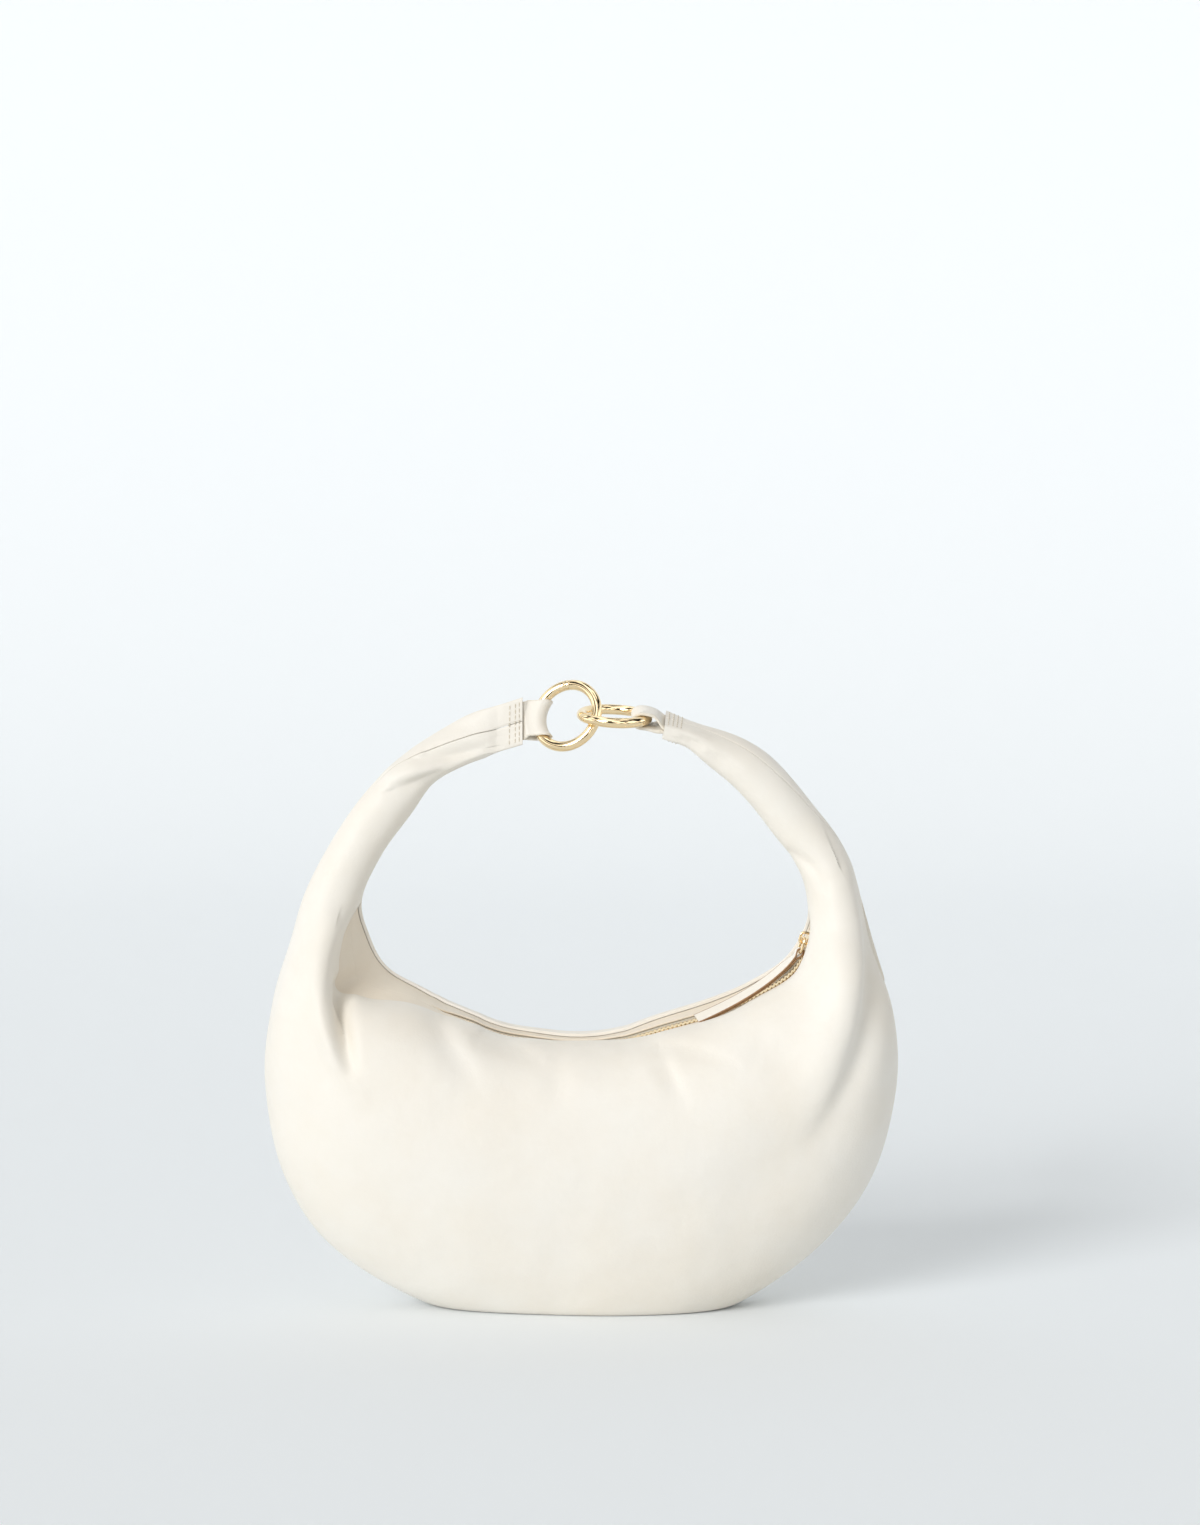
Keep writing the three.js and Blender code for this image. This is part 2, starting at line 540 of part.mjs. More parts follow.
// The pull's side view: an eye round the link, and a bar of two layers sewn together
function pullOutline() {
  const hole = LINK_WIRE / 2 + PULL_EYE + GAP / 2;
  const outer = hole + PULL_THICK / 2;
  const start = Math.asin(PULL_THICK / 2 / outer);
  const outline = new THREE.Shape();
  outline.absarc(0, 0, outer, start, Math.PI * 2 - start, false);
  const joints = 12;
  for (let k = 1; k <= joints; k += 1) {
    outline.lineTo(mix(outer, PULL_LENGTH, k / joints), -PULL_THICK / 2);
  }
  for (let k = joints; k >= 1; k -= 1) {
    outline.lineTo(mix(outer, PULL_LENGTH, k / joints), PULL_THICK / 2);
  }
  const eye = new THREE.Path();
  eye.absarc(0, 0, hole, 0, Math.PI * 2, true);
  outline.holes.push(eye);
  return outline;
}

// The pull: it hangs from the link and lies along the front of the mouth, wider at its free end
const PULL_FLARE = 0.3;
const PULL_DRIFT = 5;
const PULL_REST = MOUTH_SINK + FACING_THICK + PULL_THICK / 2 + GAP * 2;
function pull() {
  const geometry = new THREE.ExtrudeGeometry(pullOutline(), {
    depth: PULL_WIDTH, bevelEnabled: false, curveSegments: 5,
  }).translate(0, 0, -PULL_WIDTH / 2);
  const eyeAt = mouth(mouthLine.place(SLIDER_AT));
  const eye = eyeAt.centre.clone()
    .addScaledVector(eyeAt.ahead, -LINK_BACK * 2).addScaledVector(eyeAt.up, LINK_RISE);
  const endAt = mouth(mouthLine.place(SLIDER_AT - LINK_BACK * 2 - PULL_LENGTH));
  const end = mouthPoint(endAt, -PULL_DRIFT, PULL_REST);
  const along = end.clone().sub(eye).normalize();
  const midAt = mouth(mouthLine.place(SLIDER_AT - LINK_BACK - PULL_LENGTH / 2));
  const middle = mouthPoint(midAt, -PULL_DRIFT / 2, PULL_REST);
  const sag = middle.sub(eye.clone().add(end).multiplyScalar(0.5)).multiplyScalar(0.5);
  const position = geometry.attributes.position;
  for (let k = 0; k < position.count; k += 1) {
    const share = clamp(position.getX(k) / PULL_LENGTH, 0, 1);
    const up = eyeAt.up.clone().lerp(endAt.up, share);
    up.addScaledVector(along, -up.dot(along)).normalize();
    const aside = along.clone().cross(up).normalize();
    const point = eye.clone().addScaledVector(along, position.getX(k))
      .addScaledVector(up, position.getY(k))
      .addScaledVector(aside, position.getZ(k) * mix(PULL_EYE_WIDTH / PULL_WIDTH, 1 + PULL_FLARE * share, smooth(share * 7)))
      .addScaledVector(sag, 4 * share * (1 - share));
    position.setXYZ(k, point.x, point.y, point.z);
  }
  geometry.computeVertexNormals();
  return geometry;
}

// A ring as a round wire closed in itself, in the plane of its two directions
function ring(centre, long, short) {
  const normal = long.clone().cross(short);
  const matrix = new THREE.Matrix4().makeBasis(long, short, normal).setPosition(centre);
  return new THREE.TorusGeometry(RING_R, RING_WIRE / 2, RING_SIDES, RING_STEPS).applyMatrix4(matrix);
}

// The section of an arm at a distance in from its end: end is 0 for the left and 1 for the right
function armAt(end, distance) {
  const step = end === 0 ? 0.0005 : -0.0005;
  let s = end;
  let gone = 0;
  while (gone < distance) {
    gone += section(s + step).middle.distanceTo(section(s).middle);
    s += step;
  }
  return section(s);
}

// How far a circle has bent away from its tangent at a distance along the tangent
const bowOf = (radius, along) => radius - Math.sqrt(radius ** 2 - along ** 2);

// The strap has turned and opened to the wire well before it gets there
const early = (share) => smooth(share / 0.6);

// A strap folded round a ring's wire, with both ends between the two layers of the arm's end.
// touch is the wire's point in the fold, inward the direction from there to the ring's centre.
function loop(end, { touch, inward, wireAlong }) {
  const tip = section(end);
  const arm = tip.middle.clone().sub(armAt(end, LOOP_TUCK).middle).normalize();
  const widthAtWire = wireAlong.clone().multiplyScalar(Math.sign(wireAlong.dot(tip.aside)));
  const thickAtWire = widthAtWire.clone().cross(inward);
  thickAtWire.multiplyScalar(Math.sign(thickAtWire.dot(tip.along)));
  const reach = touch.distanceTo(tip.middle);
  const bend = RING_WIRE / 2 + GAP + LOOP_THICK / 2;
  const rest = LOOP_THICK / 2 + GAP / 2;
  const neck = new THREE.CubicBezierCurve3(
    tip.middle,
    tip.middle.clone().addScaledVector(arm, reach * 0.3),
    touch.clone().addScaledVector(inward, -reach * 0.5),
    touch,
  );
  const line = [];
  for (let k = 0; k <= 3; k += 1) {
    line.push([mix(-LOOP_TUCK, 0, k / 3), rest]);
  }
  for (let k = 1; k <= 5; k += 1) {
    line.push([reach * k / 5, mix(rest, bend, early(k / 5))]);
  }
  for (let k = 1; k < 8; k += 1) {
    const angle = Math.PI / 2 - Math.PI * k / 8;
    line.push([reach + bend * Math.cos(angle), bend * Math.sin(angle)]);
  }
  for (let k = 8; k >= 0; k -= 1) {
    line.push([line[k][0], -line[k][1]]);
  }
  const place = (u, h, across) => {
    const share = clamp(u / reach, 0, 1);
    const inArm = u < 0 ? armAt(end, -u) : tip;
    const origin = u < 0 ? inArm.middle.clone() : neck.getPoint(share);
    const width = inArm.aside.clone().lerp(widthAtWire, early(share)).normalize();
    const thick = inArm.along.clone().lerp(thickAtWire, early(share));
    thick.addScaledVector(width, -thick.dot(width)).normalize();
    const past = Math.max(u - reach, 0);
    const overWire = bowOf(RING_R, across) * smooth(share);
    const underWire = bowOf(RING_R - RING_WIRE / 2 - GAP, across) * smooth(share);
    const bow = mix(overWire, underWire, clamp(past / bend, 0, 1));
    return origin.addScaledVector(width, across).addScaledVector(thick, h).addScaledVector(inward, past + bow);
  };
  const face = (off) => line.map(([u, h], k) => {
    const [u0, h0] = line[Math.max(k - 1, 0)];
    const [u1, h1] = line[Math.min(k + 1, line.length - 1)];
    const length = Math.hypot(u1 - u0, h1 - h0);
    const outU = u - off * (h1 - h0) / length;
    const outH = h + off * (u1 - u0) / length;
    return [-0.5, -0.25, 0, 0.25, 0.5].map((share) => place(outU, outH, share * LOOP_WIDTH));
  });
  return slab(face(LOOP_THICK / 2), face(-LOOP_THICK / 2));
}

// Materials, with the colours of the finished object
const LEATHER = { color: 0xf0ece0, roughness: 0.5, metalness: 0 };
const GOLD = { color: 0xd9b46a, roughness: 0.2, metalness: 1 };
const TAPE = { color: 0xd8cbb0, roughness: 0.9, metalness: 0 };

const bag = new THREE.Group();
function add(name, geometry, finish) {
  const mesh = new THREE.Mesh(geometry, new THREE.MeshStandardMaterial(finish));
  mesh.name = name;
  bag.add(mesh);
}

add('front_panel', panel(-1), LEATHER);
add('back_panel', panel(1), LEATHER);
add('facing_front', facing(-1), LEATHER);
add('facing_back', facing(1), LEATHER);
add('zip_tape_front', tape(-1), TAPE);
add('zip_tape_back', tape(1), TAPE);
add('zip_teeth', teeth(), GOLD);
add('zip_slider', atMouth(slider(), SLIDER_AT), GOLD);
add('zip_pull_link', atMouth(pullLink(), SLIDER_AT), GOLD);
add('zip_pull', pull(), LEATHER);
add('ring_left', ring(ring1Centre, ring1Long, ring1Short), GOLD);
add('ring_right', ring(ring2Centre, ring2Long, ring2Short), GOLD);
add('loop_left', loop(0, leftHold), LEATHER);
add('loop_right', loop(1, rightHold), LEATHER);

export default bag;
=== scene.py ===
# Ring handle bag: a soft crescent of pale leather whose two arms meet in two linked gold rings, over
# a zipped mouth with a leather pull. Metres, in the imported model's frame: +X is right and +Z up for
# someone facing the front, +Y is the back, and the bag rests on z = 0.
import bpy
import numpy as np
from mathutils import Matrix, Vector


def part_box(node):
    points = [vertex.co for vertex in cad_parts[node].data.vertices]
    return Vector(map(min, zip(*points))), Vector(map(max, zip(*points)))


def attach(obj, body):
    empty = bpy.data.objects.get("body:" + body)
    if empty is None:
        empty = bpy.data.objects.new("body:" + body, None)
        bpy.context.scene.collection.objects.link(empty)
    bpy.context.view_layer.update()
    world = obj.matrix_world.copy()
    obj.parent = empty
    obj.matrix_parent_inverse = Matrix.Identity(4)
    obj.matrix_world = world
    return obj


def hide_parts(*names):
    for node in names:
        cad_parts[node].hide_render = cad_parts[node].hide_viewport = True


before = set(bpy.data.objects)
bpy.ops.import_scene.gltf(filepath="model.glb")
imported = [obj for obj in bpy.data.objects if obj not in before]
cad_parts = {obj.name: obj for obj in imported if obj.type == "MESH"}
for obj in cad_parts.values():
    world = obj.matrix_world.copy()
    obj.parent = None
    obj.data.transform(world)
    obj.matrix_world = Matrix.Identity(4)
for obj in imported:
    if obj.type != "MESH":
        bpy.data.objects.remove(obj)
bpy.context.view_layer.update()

scene = bpy.context.scene

# Camera
# The photograph looks a little down on the bag's front, through a long lens from about 2 m.
CAMERA_AIM = np.array([0.0096, 0, 0.295])
CAMERA_DISTANCE = 2.0
CAMERA_PITCH = np.radians(5.5)
CAMERA_LENS = 88.4

camera = bpy.data.objects.new("camera", bpy.data.cameras.new("camera"))
camera.data.lens = CAMERA_LENS
camera.data.sensor_width = 36
camera.data.clip_start = 0.05
camera.data.clip_end = 30
camera.rotation_euler = (np.pi / 2 - CAMERA_PITCH, 0, 0)
camera.location = CAMERA_AIM + CAMERA_DISTANCE * np.array([0, -np.cos(CAMERA_PITCH), np.sin(CAMERA_PITCH)])
scene.collection.objects.link(camera)
scene.camera = camera

# Floor and backdrop
# A studio sweep: one pale sheet that lies under the bag and curves up behind it.
SWEEP_FRONT = -4.0
SWEEP_BEND = 1.6
SWEEP_RADIUS = 1.6
SWEEP_TOP = 6.0
SWEEP_HALF = 7.0
SWEEP_COLOUR = (0.885, 0.918, 0.94)
SHARP_ANGLE = np.radians(50)


def mesh_of(name, points, *faces):
    """A smooth-shaded piece from an array of points and arrays of faces, one array for each number of
    corners. Its faces are turned outwards: the volume of all the wedges from the origin is positive."""
    volume = 0
    for group in faces:
        for k in range(1, group.shape[1] - 1):
            a, b, c = (points[group[:, corner]] for corner in (0, k, k + 1))
            volume += np.einsum("ij,ij", a, np.cross(b, c))
    if volume < 0:
        faces = [group[:, ::-1] for group in faces]
    corners = np.concatenate([group.ravel() for group in faces])
    sizes = np.concatenate([np.full(len(group), group.shape[1]) for group in faces])
    mesh = bpy.data.meshes.new(name)
    mesh.vertices.add(len(points))
    mesh.vertices.foreach_set("co", np.ascontiguousarray(points, dtype=np.float32).ravel())
    mesh.loops.add(len(corners))
    mesh.loops.foreach_set("vertex_index", corners.astype(np.int32))
    mesh.polygons.add(len(sizes))
    mesh.polygons.foreach_set("loop_start", (np.cumsum(sizes) - sizes).astype(np.int32))
    mesh.update(calc_edges=True)
    mesh.validate()
    mesh.shade_smooth()
    mesh.set_sharp_from_angle(angle=SHARP_ANGLE)
    piece = bpy.data.objects.new(name, mesh)
    scene.collection.objects.link(piece)
    return piece


def sheet_quads(rows, columns):
    """Quads between neighbouring points of a grid of rows by columns."""
    index = np.arange(rows * columns).reshape(rows, columns)
    a, b = index[:-1], index[1:]
    return np.stack([a[:, :-1], b[:, :-1], b[:, 1:], a[:, 1:]], -1).reshape(-1, 4)


def new_material(name):
    """An empty material, its node tree and its main shader."""
    made = bpy.data.materials.new(name)
    made.use_nodes = True
    return made, made.node_tree, made.node_tree.nodes["Principled BSDF"]


def node(tree, kind, settings=None, **inputs):
    """Adds a node. Each input is a value, or the output of another node, and _ stands for a space."""
    made = tree.nodes.new("ShaderNode" + kind)
    for key, value in (settings or {}).items():
        setattr(made, key, value)
    for key, value in inputs.items():
        socket = made.inputs[key.replace("_", " ")]
        if isinstance(value, bpy.types.NodeSocket):
            tree.links.new(value, socket)
        else:
            socket.default_value = value
    return made


def ramp(tree, factor, *stops):
    """Colours along a factor: each stop is a place and a colour."""
    made = node(tree, "ValToRGB", Fac=factor)
    elements = made.color_ramp.elements
    while len(elements) < len(stops):
        elements.new(0.5)
    for element, (place, colour) in zip(elements, stops):
        element.position = place
        element.color = (*colour, 1)
    return made.outputs["Color"]


turn = np.linspace(0, np.pi / 2, 25)
sweep_y = SWEEP_BEND + SWEEP_RADIUS * np.sin(turn)
sweep_y = np.concatenate([[SWEEP_FRONT], sweep_y, [SWEEP_BEND + SWEEP_RADIUS]])
sweep_z = np.concatenate([[0], SWEEP_RADIUS * (1 - np.cos(turn)), [SWEEP_TOP]])
sweep_points = np.array([[[x, y, z] for y, z in zip(sweep_y, sweep_z)] for x in (-SWEEP_HALF, SWEEP_HALF)])
sweep = mesh_of("studio_sweep", sweep_points.reshape(-1, 3), sheet_quads(2, len(sweep_y)))
sweep_finish, _, sweep_shader = new_material("pale_paper")
sweep_shader.inputs["Base Color"].default_value = (*SWEEP_COLOUR, 1)
sweep_shader.inputs["Roughness"].default_value = 0.9
sweep_shader.inputs["Specular IOR Level"].default_value = 0.1
sweep.data.materials.append(sweep_finish)

# Lights
# One broad soft light from the left, the front and above, like a large window, and a pale room that
# fills the shade. Only reflections see the room's darker and brighter parts.
SUN_FROM = (-0.56, -0.74, 0.40)
SUN_SPREAD = np.radians(28)
SUN_STRENGTH = 1.75
ROOM_STRENGTH = 0.55

sun = bpy.data.objects.new("window_light", bpy.data.lights.new("window_light", "SUN"))
sun.data.energy = SUN_STRENGTH
sun.data.angle = SUN_SPREAD
sun.rotation_euler = Vector(SUN_FROM).to_track_quat("Z", "Y").to_euler()
scene.collection.objects.link(sun)
room = bpy.data.worlds.new("room")
room.use_nodes = True
room_tree = room.node_tree
plain_room = room_tree.nodes["Background"]
plain_room.inputs["Color"].default_value = (1.0, 0.99, 0.97, 1)
plain_room.inputs["Strength"].default_value = ROOM_STRENGTH
mirrored = node(room_tree, "TexCoord").outputs["Generated"]
bands = node(room_tree, "TexNoise", Vector=mirrored, Scale=2.3, Detail=1.5).outputs["Fac"]
tones = ramp(
    room_tree, bands,
    (0.47, (0.015, 0.015, 0.015)), (0.51, (0.60, 0.59, 0.57)), (0.57, (1.8, 1.8, 1.8)),
)
shiny_room = node(room_tree, "Background", Color=tones, Strength=1.0)
ray = node(room_tree, "LightPath")
chosen = node(room_tree, "MixShader", Fac=ray.outputs["Is Glossy Ray"])
room_tree.links.new(plain_room.outputs["Background"], chosen.inputs[1])
room_tree.links.new(shiny_room.outputs["Background"], chosen.inputs[2])
room_tree.links.new(chosen.outputs["Shader"], room_tree.nodes["World Output"].inputs["Surface"])
scene.world = room
scene.view_settings.view_transform = "Standard"

# Rings
# Two rings of round brass wire, welded, polished and gold plated, linked one through the other. The
# left one stands and leans, the right one lies nearly level. The left one's joint shows as two
# fine grooves across the wire.
RING_OUTER = 0.0405
RING_WIRE = 0.0055
RING_RADIUS = (RING_OUTER - RING_WIRE) / 2
RING_STEPS = 240
RING_SIDES = 32
GROOVE_ANGLES = np.radians([46, 56])
GROOVE_WIDTH = 0.00022
GROOVE_DEPTH = 0.00028
LEFT_SLOPE, LEFT_LEAN = np.radians([45, 36])
RIGHT_SLOPE, RIGHT_LEAN = np.radians([3, 7])


def unit(vectors):
    """Vectors brought to length 1."""
    return vectors / np.linalg.norm(vectors, axis=-1, keepdims=True)


def node_middle(name):
    """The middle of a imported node's box."""
    low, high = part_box(name)
    return (np.array(low) + np.array(high)) / 2


def ring_surface(centre, long, short, grooves):
    """Torus: at angle u round the ring and v round the wire, centre + out times (radius + wire cos v)
    + the ring's axis times wire sin v, where out turns from long to short with u. Each groove takes
    a bell-shaped bite out of the wire's radius at its own u."""
    u = np.linspace(0, 2 * np.pi, RING_STEPS, endpoint=False)[:, None, None]
    v = np.linspace(0, 2 * np.pi, RING_SIDES, endpoint=False)[None, :, None]
    wire = np.full_like(u, RING_WIRE / 2)
    for groove in grooves:
        wire = wire - GROOVE_DEPTH * np.exp(-(((u - groove) * RING_RADIUS) / GROOVE_WIDTH) ** 2)
    out = long * np.cos(u) + short * np.sin(u)
    return centre + out * (RING_RADIUS + wire * np.cos(v)) + np.cross(long, short) * wire * np.sin(v)


def solid_of(name, loops, joined=False):
    """A closed solid through rows of closed section lines, loops[row][column]. The last row meets the
    first if joined; if not, quads straight across the first and the last line close the ends."""
    rows, columns = loops.shape[:2]
    index = np.arange(rows * columns).reshape(rows, columns)
    faces = []
    if joined:
        index = np.vstack([index, index[:1]])
    else:
        j = np.arange(columns // 2 - 1)
        for end, flip in ((index[0], 1), (index[-1], -1)):
            quads = np.stack([end[j], end[j + 1], end[columns - 2 - j], end[columns - 1 - j]], -1)
            faces.append(quads[:, ::flip])
    a, b = index[:-1], index[1:]
    faces.append(np.stack([a, b, np.roll(b, -1, 1), np.roll(a, -1, 1)], -1).reshape(-1, 4))
    return mesh_of(name, loops.reshape(-1, 3), *faces)


def cloudy_gloss(tree, shader, cloud, low, high):
    """Makes the roughness go from low to high with a cloud pattern."""
    gloss = node(tree, "MapRange", Value=cloud, From_Min=0.3, From_Max=0.7, To_Min=low, To_Max=high)
    tree.links.new(gloss.outputs["Result"], shader.inputs["Roughness"])


def bumped(tree, height, strength, distance, **under):
    """A normal that leans with a height pattern, over another Normal if one is given."""
    return node(tree, "Bump", Height=height, Strength=strength, Distance=distance, **under).outputs["Normal"]


def gold_finish(name, colour, dull):
    """Polished metal: one colour, with faint cloudy changes of its gloss and hairline scratches."""
    made, tree, shader = new_material(name)
    place = node(tree, "TexCoord").outputs["Object"]
    cloud = node(tree, "TexNoise", Vector=place, Scale=90, Detail=4).outputs["Fac"]
    cloudy_gloss(tree, shader, cloud, dull * 0.6, dull * 1.5)
    hair = node(tree, "TexNoise", Vector=place, Scale=700, Detail=2).outputs["Fac"]
    tree.links.new(bumped(tree, hair, 0.05, 0.0001), shader.inputs["Normal"])
    shader.inputs["Base Color"].default_value = (*colour, 1)
    shader.inputs["Metallic"].default_value = 1
    return made


left_long = np.array([np.cos(LEFT_SLOPE), 0, np.sin(LEFT_SLOPE)])
left_short = np.array([
    -np.sin(LEFT_SLOPE) * np.cos(LEFT_LEAN),
    np.sin(LEFT_LEAN),
    np.cos(LEFT_SLOPE) * np.cos(LEFT_LEAN),
])
right_long = np.array([np.cos(RIGHT_SLOPE), 0, -np.sin(RIGHT_SLOPE)])
right_short = np.array([0, np.cos(RIGHT_LEAN), np.sin(RIGHT_LEAN)])
left_centre = node_middle("ring_left")
right_centre = node_middle("ring_right")

gold = gold_finish("gold_metal", colour=(0.93, 0.74, 0.46), dull=0.09)
left_wire = ring_surface(left_centre, left_long, left_short, GROOVE_ANGLES)
right_wire = ring_surface(right_centre, right_long, right_short, [])
ring_left = solid_of("ring_left_wire", left_wire, joined=True)
ring_right = solid_of("ring_right_wire", right_wire, joined=True)
for ring, ring_node in ((ring_left, "ring_left"), (ring_right, "ring_right")):
    ring.data.materials.append(gold)
    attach(ring, "root")
    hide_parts(ring_node)

# Leather body and arms
# Two half shells of soft leather about 2 mm thick, front and back, sewn together along the outer
# seam and along the arms' inner seams. The mouth's rims are open edges turned in. The leather sags,
# folds where the arms begin, and lies flat on what the bag rests on.
HALF_WIDTH = 0.170
ARM_HEIGHT = 0.330
BODY_DEPTH = 0.104
MOUTH_WIDTH = 0.028
WALL = 0.0018
GAP = 0.0003
BASE_BLEND = 0.003
LOOP_WIDTH = 0.0205
LOOP_THICK = 0.0018
LOOP_NECK_LEFT = 0.0052
LOOP_NECK_RIGHT = 0.0062
TIP_HALF = LOOP_WIDTH / 2 + WALL + GAP * 2
TIP_THIN = LOOP_THICK + WALL + GAP * 2
TIP_SQUARE = 0.8

# The cross sections from the left arm's end through the body to the right arm's end. The first four
# columns are the inner and the outer seam as shares of HALF_WIDTH and ARM_HEIGHT. depth is a share
# of BODY_DEPTH, rim and slide of the mouth's width: how far the rims stand apart and how far the
# front one lies lower. twist is in degrees, full under 1 puts the fullest place nearer the mouth,
# tip is 1 where the arm is flat, and pull is how much a section follows the arm's end.
SECTION_COLUMNS = ["in_x", "in_z", "out_x", "out_z", "depth", "twist", "rim", "slide", "full", "tip", "pull"]
SECTIONS = np.array([
    [-0.189, 0.922, -0.189, 0.998, 0.23, -84, 0, 0, 1, 1, 1],
    [-0.268, 0.909, -0.268, 0.985, 0.24, -84, 0, 0, 1, 1, 1],
    [-0.342, 0.911, -0.380, 0.946, 0.24, -66, 0, 0, 1, 0.40, 0.9],
    [-0.462, 0.863, -0.546, 0.909, 0.24, -38, 0, 0, 1, 0.05, 0.6],
    [-0.540, 0.808, -0.663, 0.857, 0.24, -20, 0, 0, 1, 0, 0.3],
    [-0.630, 0.744, -0.769, 0.783, 0.24, -8, 0, 0, 1, 0, 0.1],
    [-0.694, 0.670, -0.868, 0.689, 0.29, 0, 0, 0, 1, 0, 0],
    [-0.672, 0.607, -0.920, 0.604, 0.43, 0, 0.55, 0.50, 1, 0, 0],
    [-0.613, 0.553, -0.977, 0.505, 0.62, 0, 0.95, 0.78, 1, 0, 0],
    [-0.508, 0.518, -1.004, 0.374, 0.80, 0, 1.10, 0.22, 0.95, 0, 0],
    [-0.355, 0.481, -0.944, 0.216, 0.93, 0, 1.00, 0.05, 0.90, 0, 0],
    [-0.228, 0.459, -0.778, 0.092, 0.98, 0, 0.90, 0.04, 0.86, 0, 0],
    [-0.102, 0.448, -0.450, -0.004, 1, 0, 0.80, 0.02, 0.82, 0, 0],
    [0.009, 0.445, -0.071, -0.045, 1, 0, 0.75, 0, 0.80, 0, 0],
    [0.120, 0.453, 0.184, -0.046, 1, 0, 0.78, 0.06, 0.82, 0, 0],
    [0.246, 0.475, 0.448, -0.008, 0.98, 0, 0.90, 0.17, 0.86, 0, 0],
    [0.411, 0.502, 0.732, 0.090, 0.93, 0, 0.95, 0.22, 0.90, 0, 0],
    [0.530, 0.529, 0.915, 0.211, 0.84, 0, 0.95, 0.19, 0.95, 0, 0],
    [0.641, 0.568, 0.993, 0.357, 0.70, 0, 0.80, 0.22, 1, 0, 0],
    [0.703, 0.621, 0.986, 0.480, 0.55, 0, 0.50, 0.10, 1, 0, 0],
    [0.714, 0.662, 0.917, 0.607, 0.37, 0, 0, 0, 1, 0, 0],
    [0.685, 0.720, 0.835, 0.745, 0.29, -8, 0, 0, 1, 0, 0.1],
    [0.595, 0.785, 0.720, 0.830, 0.27, -28, 0, 0, 1, 0, 0.3],
    [0.509, 0.845, 0.612, 0.892, 0.27, -41, 0, 0, 1, 0, 0.5],
    [0.427, 0.884, 0.518, 0.927, 0.26, -38, 0, 0, 1, 0.05, 0.7],
    [0.341, 0.915, 0.379, 0.957, 0.25, -12, 0, 0, 1, 0.45, 0.9],
    [0.256, 0.938, 0.270, 0.976, 0.22, -15, 0, 0, 1, 1, 1],
])
LAST_ROW = len(SECTIONS) - 1

# Folds and dents, each along a bend from its start by a middle point to its end, as shares of
# HALF_WIDTH and ARM_HEIGHT. view is -1 where it shows from the front and 1 from the back. left and
# right are its widths on both sides of the bend and high its height, under 0 for a valley, all in mm.
# A sine fades it out along its length, from the half turn's share first to the share last.
FOLDS = np.array([
    # view, x0, z0, x1, z1, x2, z2, left, right, high, first, last
    [-1, -0.744, 0.545, -0.752, 0.476, -0.713, 0.400, 4.5, 3.6, -10, 0.45, 0.98],
    [-1, -0.778, 0.629, -0.885, 0.492, -0.684, 0.385, 4.5, 7.0, 4.0, 0.20, 0.95],
    [-1, -0.842, 0.571, -0.865, 0.450, -0.728, 0.337, 6, 7, -1.2, 0.15, 0.95],
    [-1, -0.437, 0.482, -0.395, 0.445, -0.314, 0.388, 5, 9, -2.6, 0.40, 0.95],
    [-1, -0.303, 0.464, -0.217, 0.452, -0.140, 0.430, 3.0, 6.5, -1.9, 0.30, 0.85],
    [-1, -0.084, 0.423, -0.072, 0.388, -0.067, 0.360, 7, 7, -1.0, 0.20, 0.90],
    [-1, 0.255, 0.433, 0.264, 0.413, 0.315, 0.369, 4, 7, -1.6, 0.20, 0.90],
    [-1, 0.142, 0.450, 0.329, 0.457, 0.468, 0.428, 2.5, 6, -1.3, 0.25, 0.90],
    [-1, 0.569, 0.445, 0.616, 0.436, 0.642, 0.425, 11, 11, -1.8, 0.30, 0.70],
    [-1, 0.808, 0.715, 0.948, 0.516, 0.680, 0.300, 6.5, 17, 6.5, 0.15, 1.00],
    [-1, 0.858, 0.685, 0.995, 0.520, 0.690, 0.280, 10, 7, -5.5, 0.08, 1.00],
    [-1, 0.800, 0.340, 0.640, 0.250, 0.380, 0.180, 17, 17, -2.2, 0.05, 0.95],
    [-1, 0.661, 0.747, 0.738, 0.732, 0.760, 0.694, 4, 2.2, -1.8, 0.20, 0.85],
    [-1, -0.481, 0.906, -0.398, 0.911, -0.310, 0.918, 3, 7, -3.2, 0.20, 0.85],
    [-1, -0.492, 0.914, -0.400, 0.933, -0.302, 0.936, 6, 4, 1.5, 0.20, 0.85],
    [-1, -0.580, 0.856, -0.520, 0.864, -0.444, 0.877, 3, 7, -3.2, 0.20, 0.85],
    [-1, -0.592, 0.872, -0.529, 0.881, -0.448, 0.891, 6, 4, 1.5, 0.20, 0.85],
    [-1, 0.322, 0.935, 0.353, 0.930, 0.393, 0.921, 3, 5, -2.2, 0.20, 0.85],
    [-1, 0.404, 0.909, 0.430, 0.905, 0.463, 0.896, 3, 5, -1.5, 0.20, 0.85],
    [1, -0.650, 0.560, -0.720, 0.460, -0.690, 0.350, 12, 12, -3.3, 0.12, 0.88],
    [1, -0.250, 0.420, -0.220, 0.360, -0.150, 0.300, 12, 12, -1.8, 0.12, 0.88],
    [1, 0.330, 0.430, 0.330, 0.370, 0.380, 0.310, 12, 12, -2.1, 0.12, 0.88],
    [1, 0.760, 0.600, 0.850, 0.450, 0.740, 0.260, 12, 12, -3.6, 0.12, 0.88],
])
FOLD_STEPS = 16
FOLD_SIDE_BLEND = 1e-6
NORMAL_STEP = 0.002
PANEL_ROWS = 540
PANEL_COLUMNS = 52
SEAM_ROUND = 0.00045
RIM_ROUND = 0.0009
EDGE_PLACES = np.array([0, 0.1, 0.3, 0.6])
LENGTH_STEPS = 400


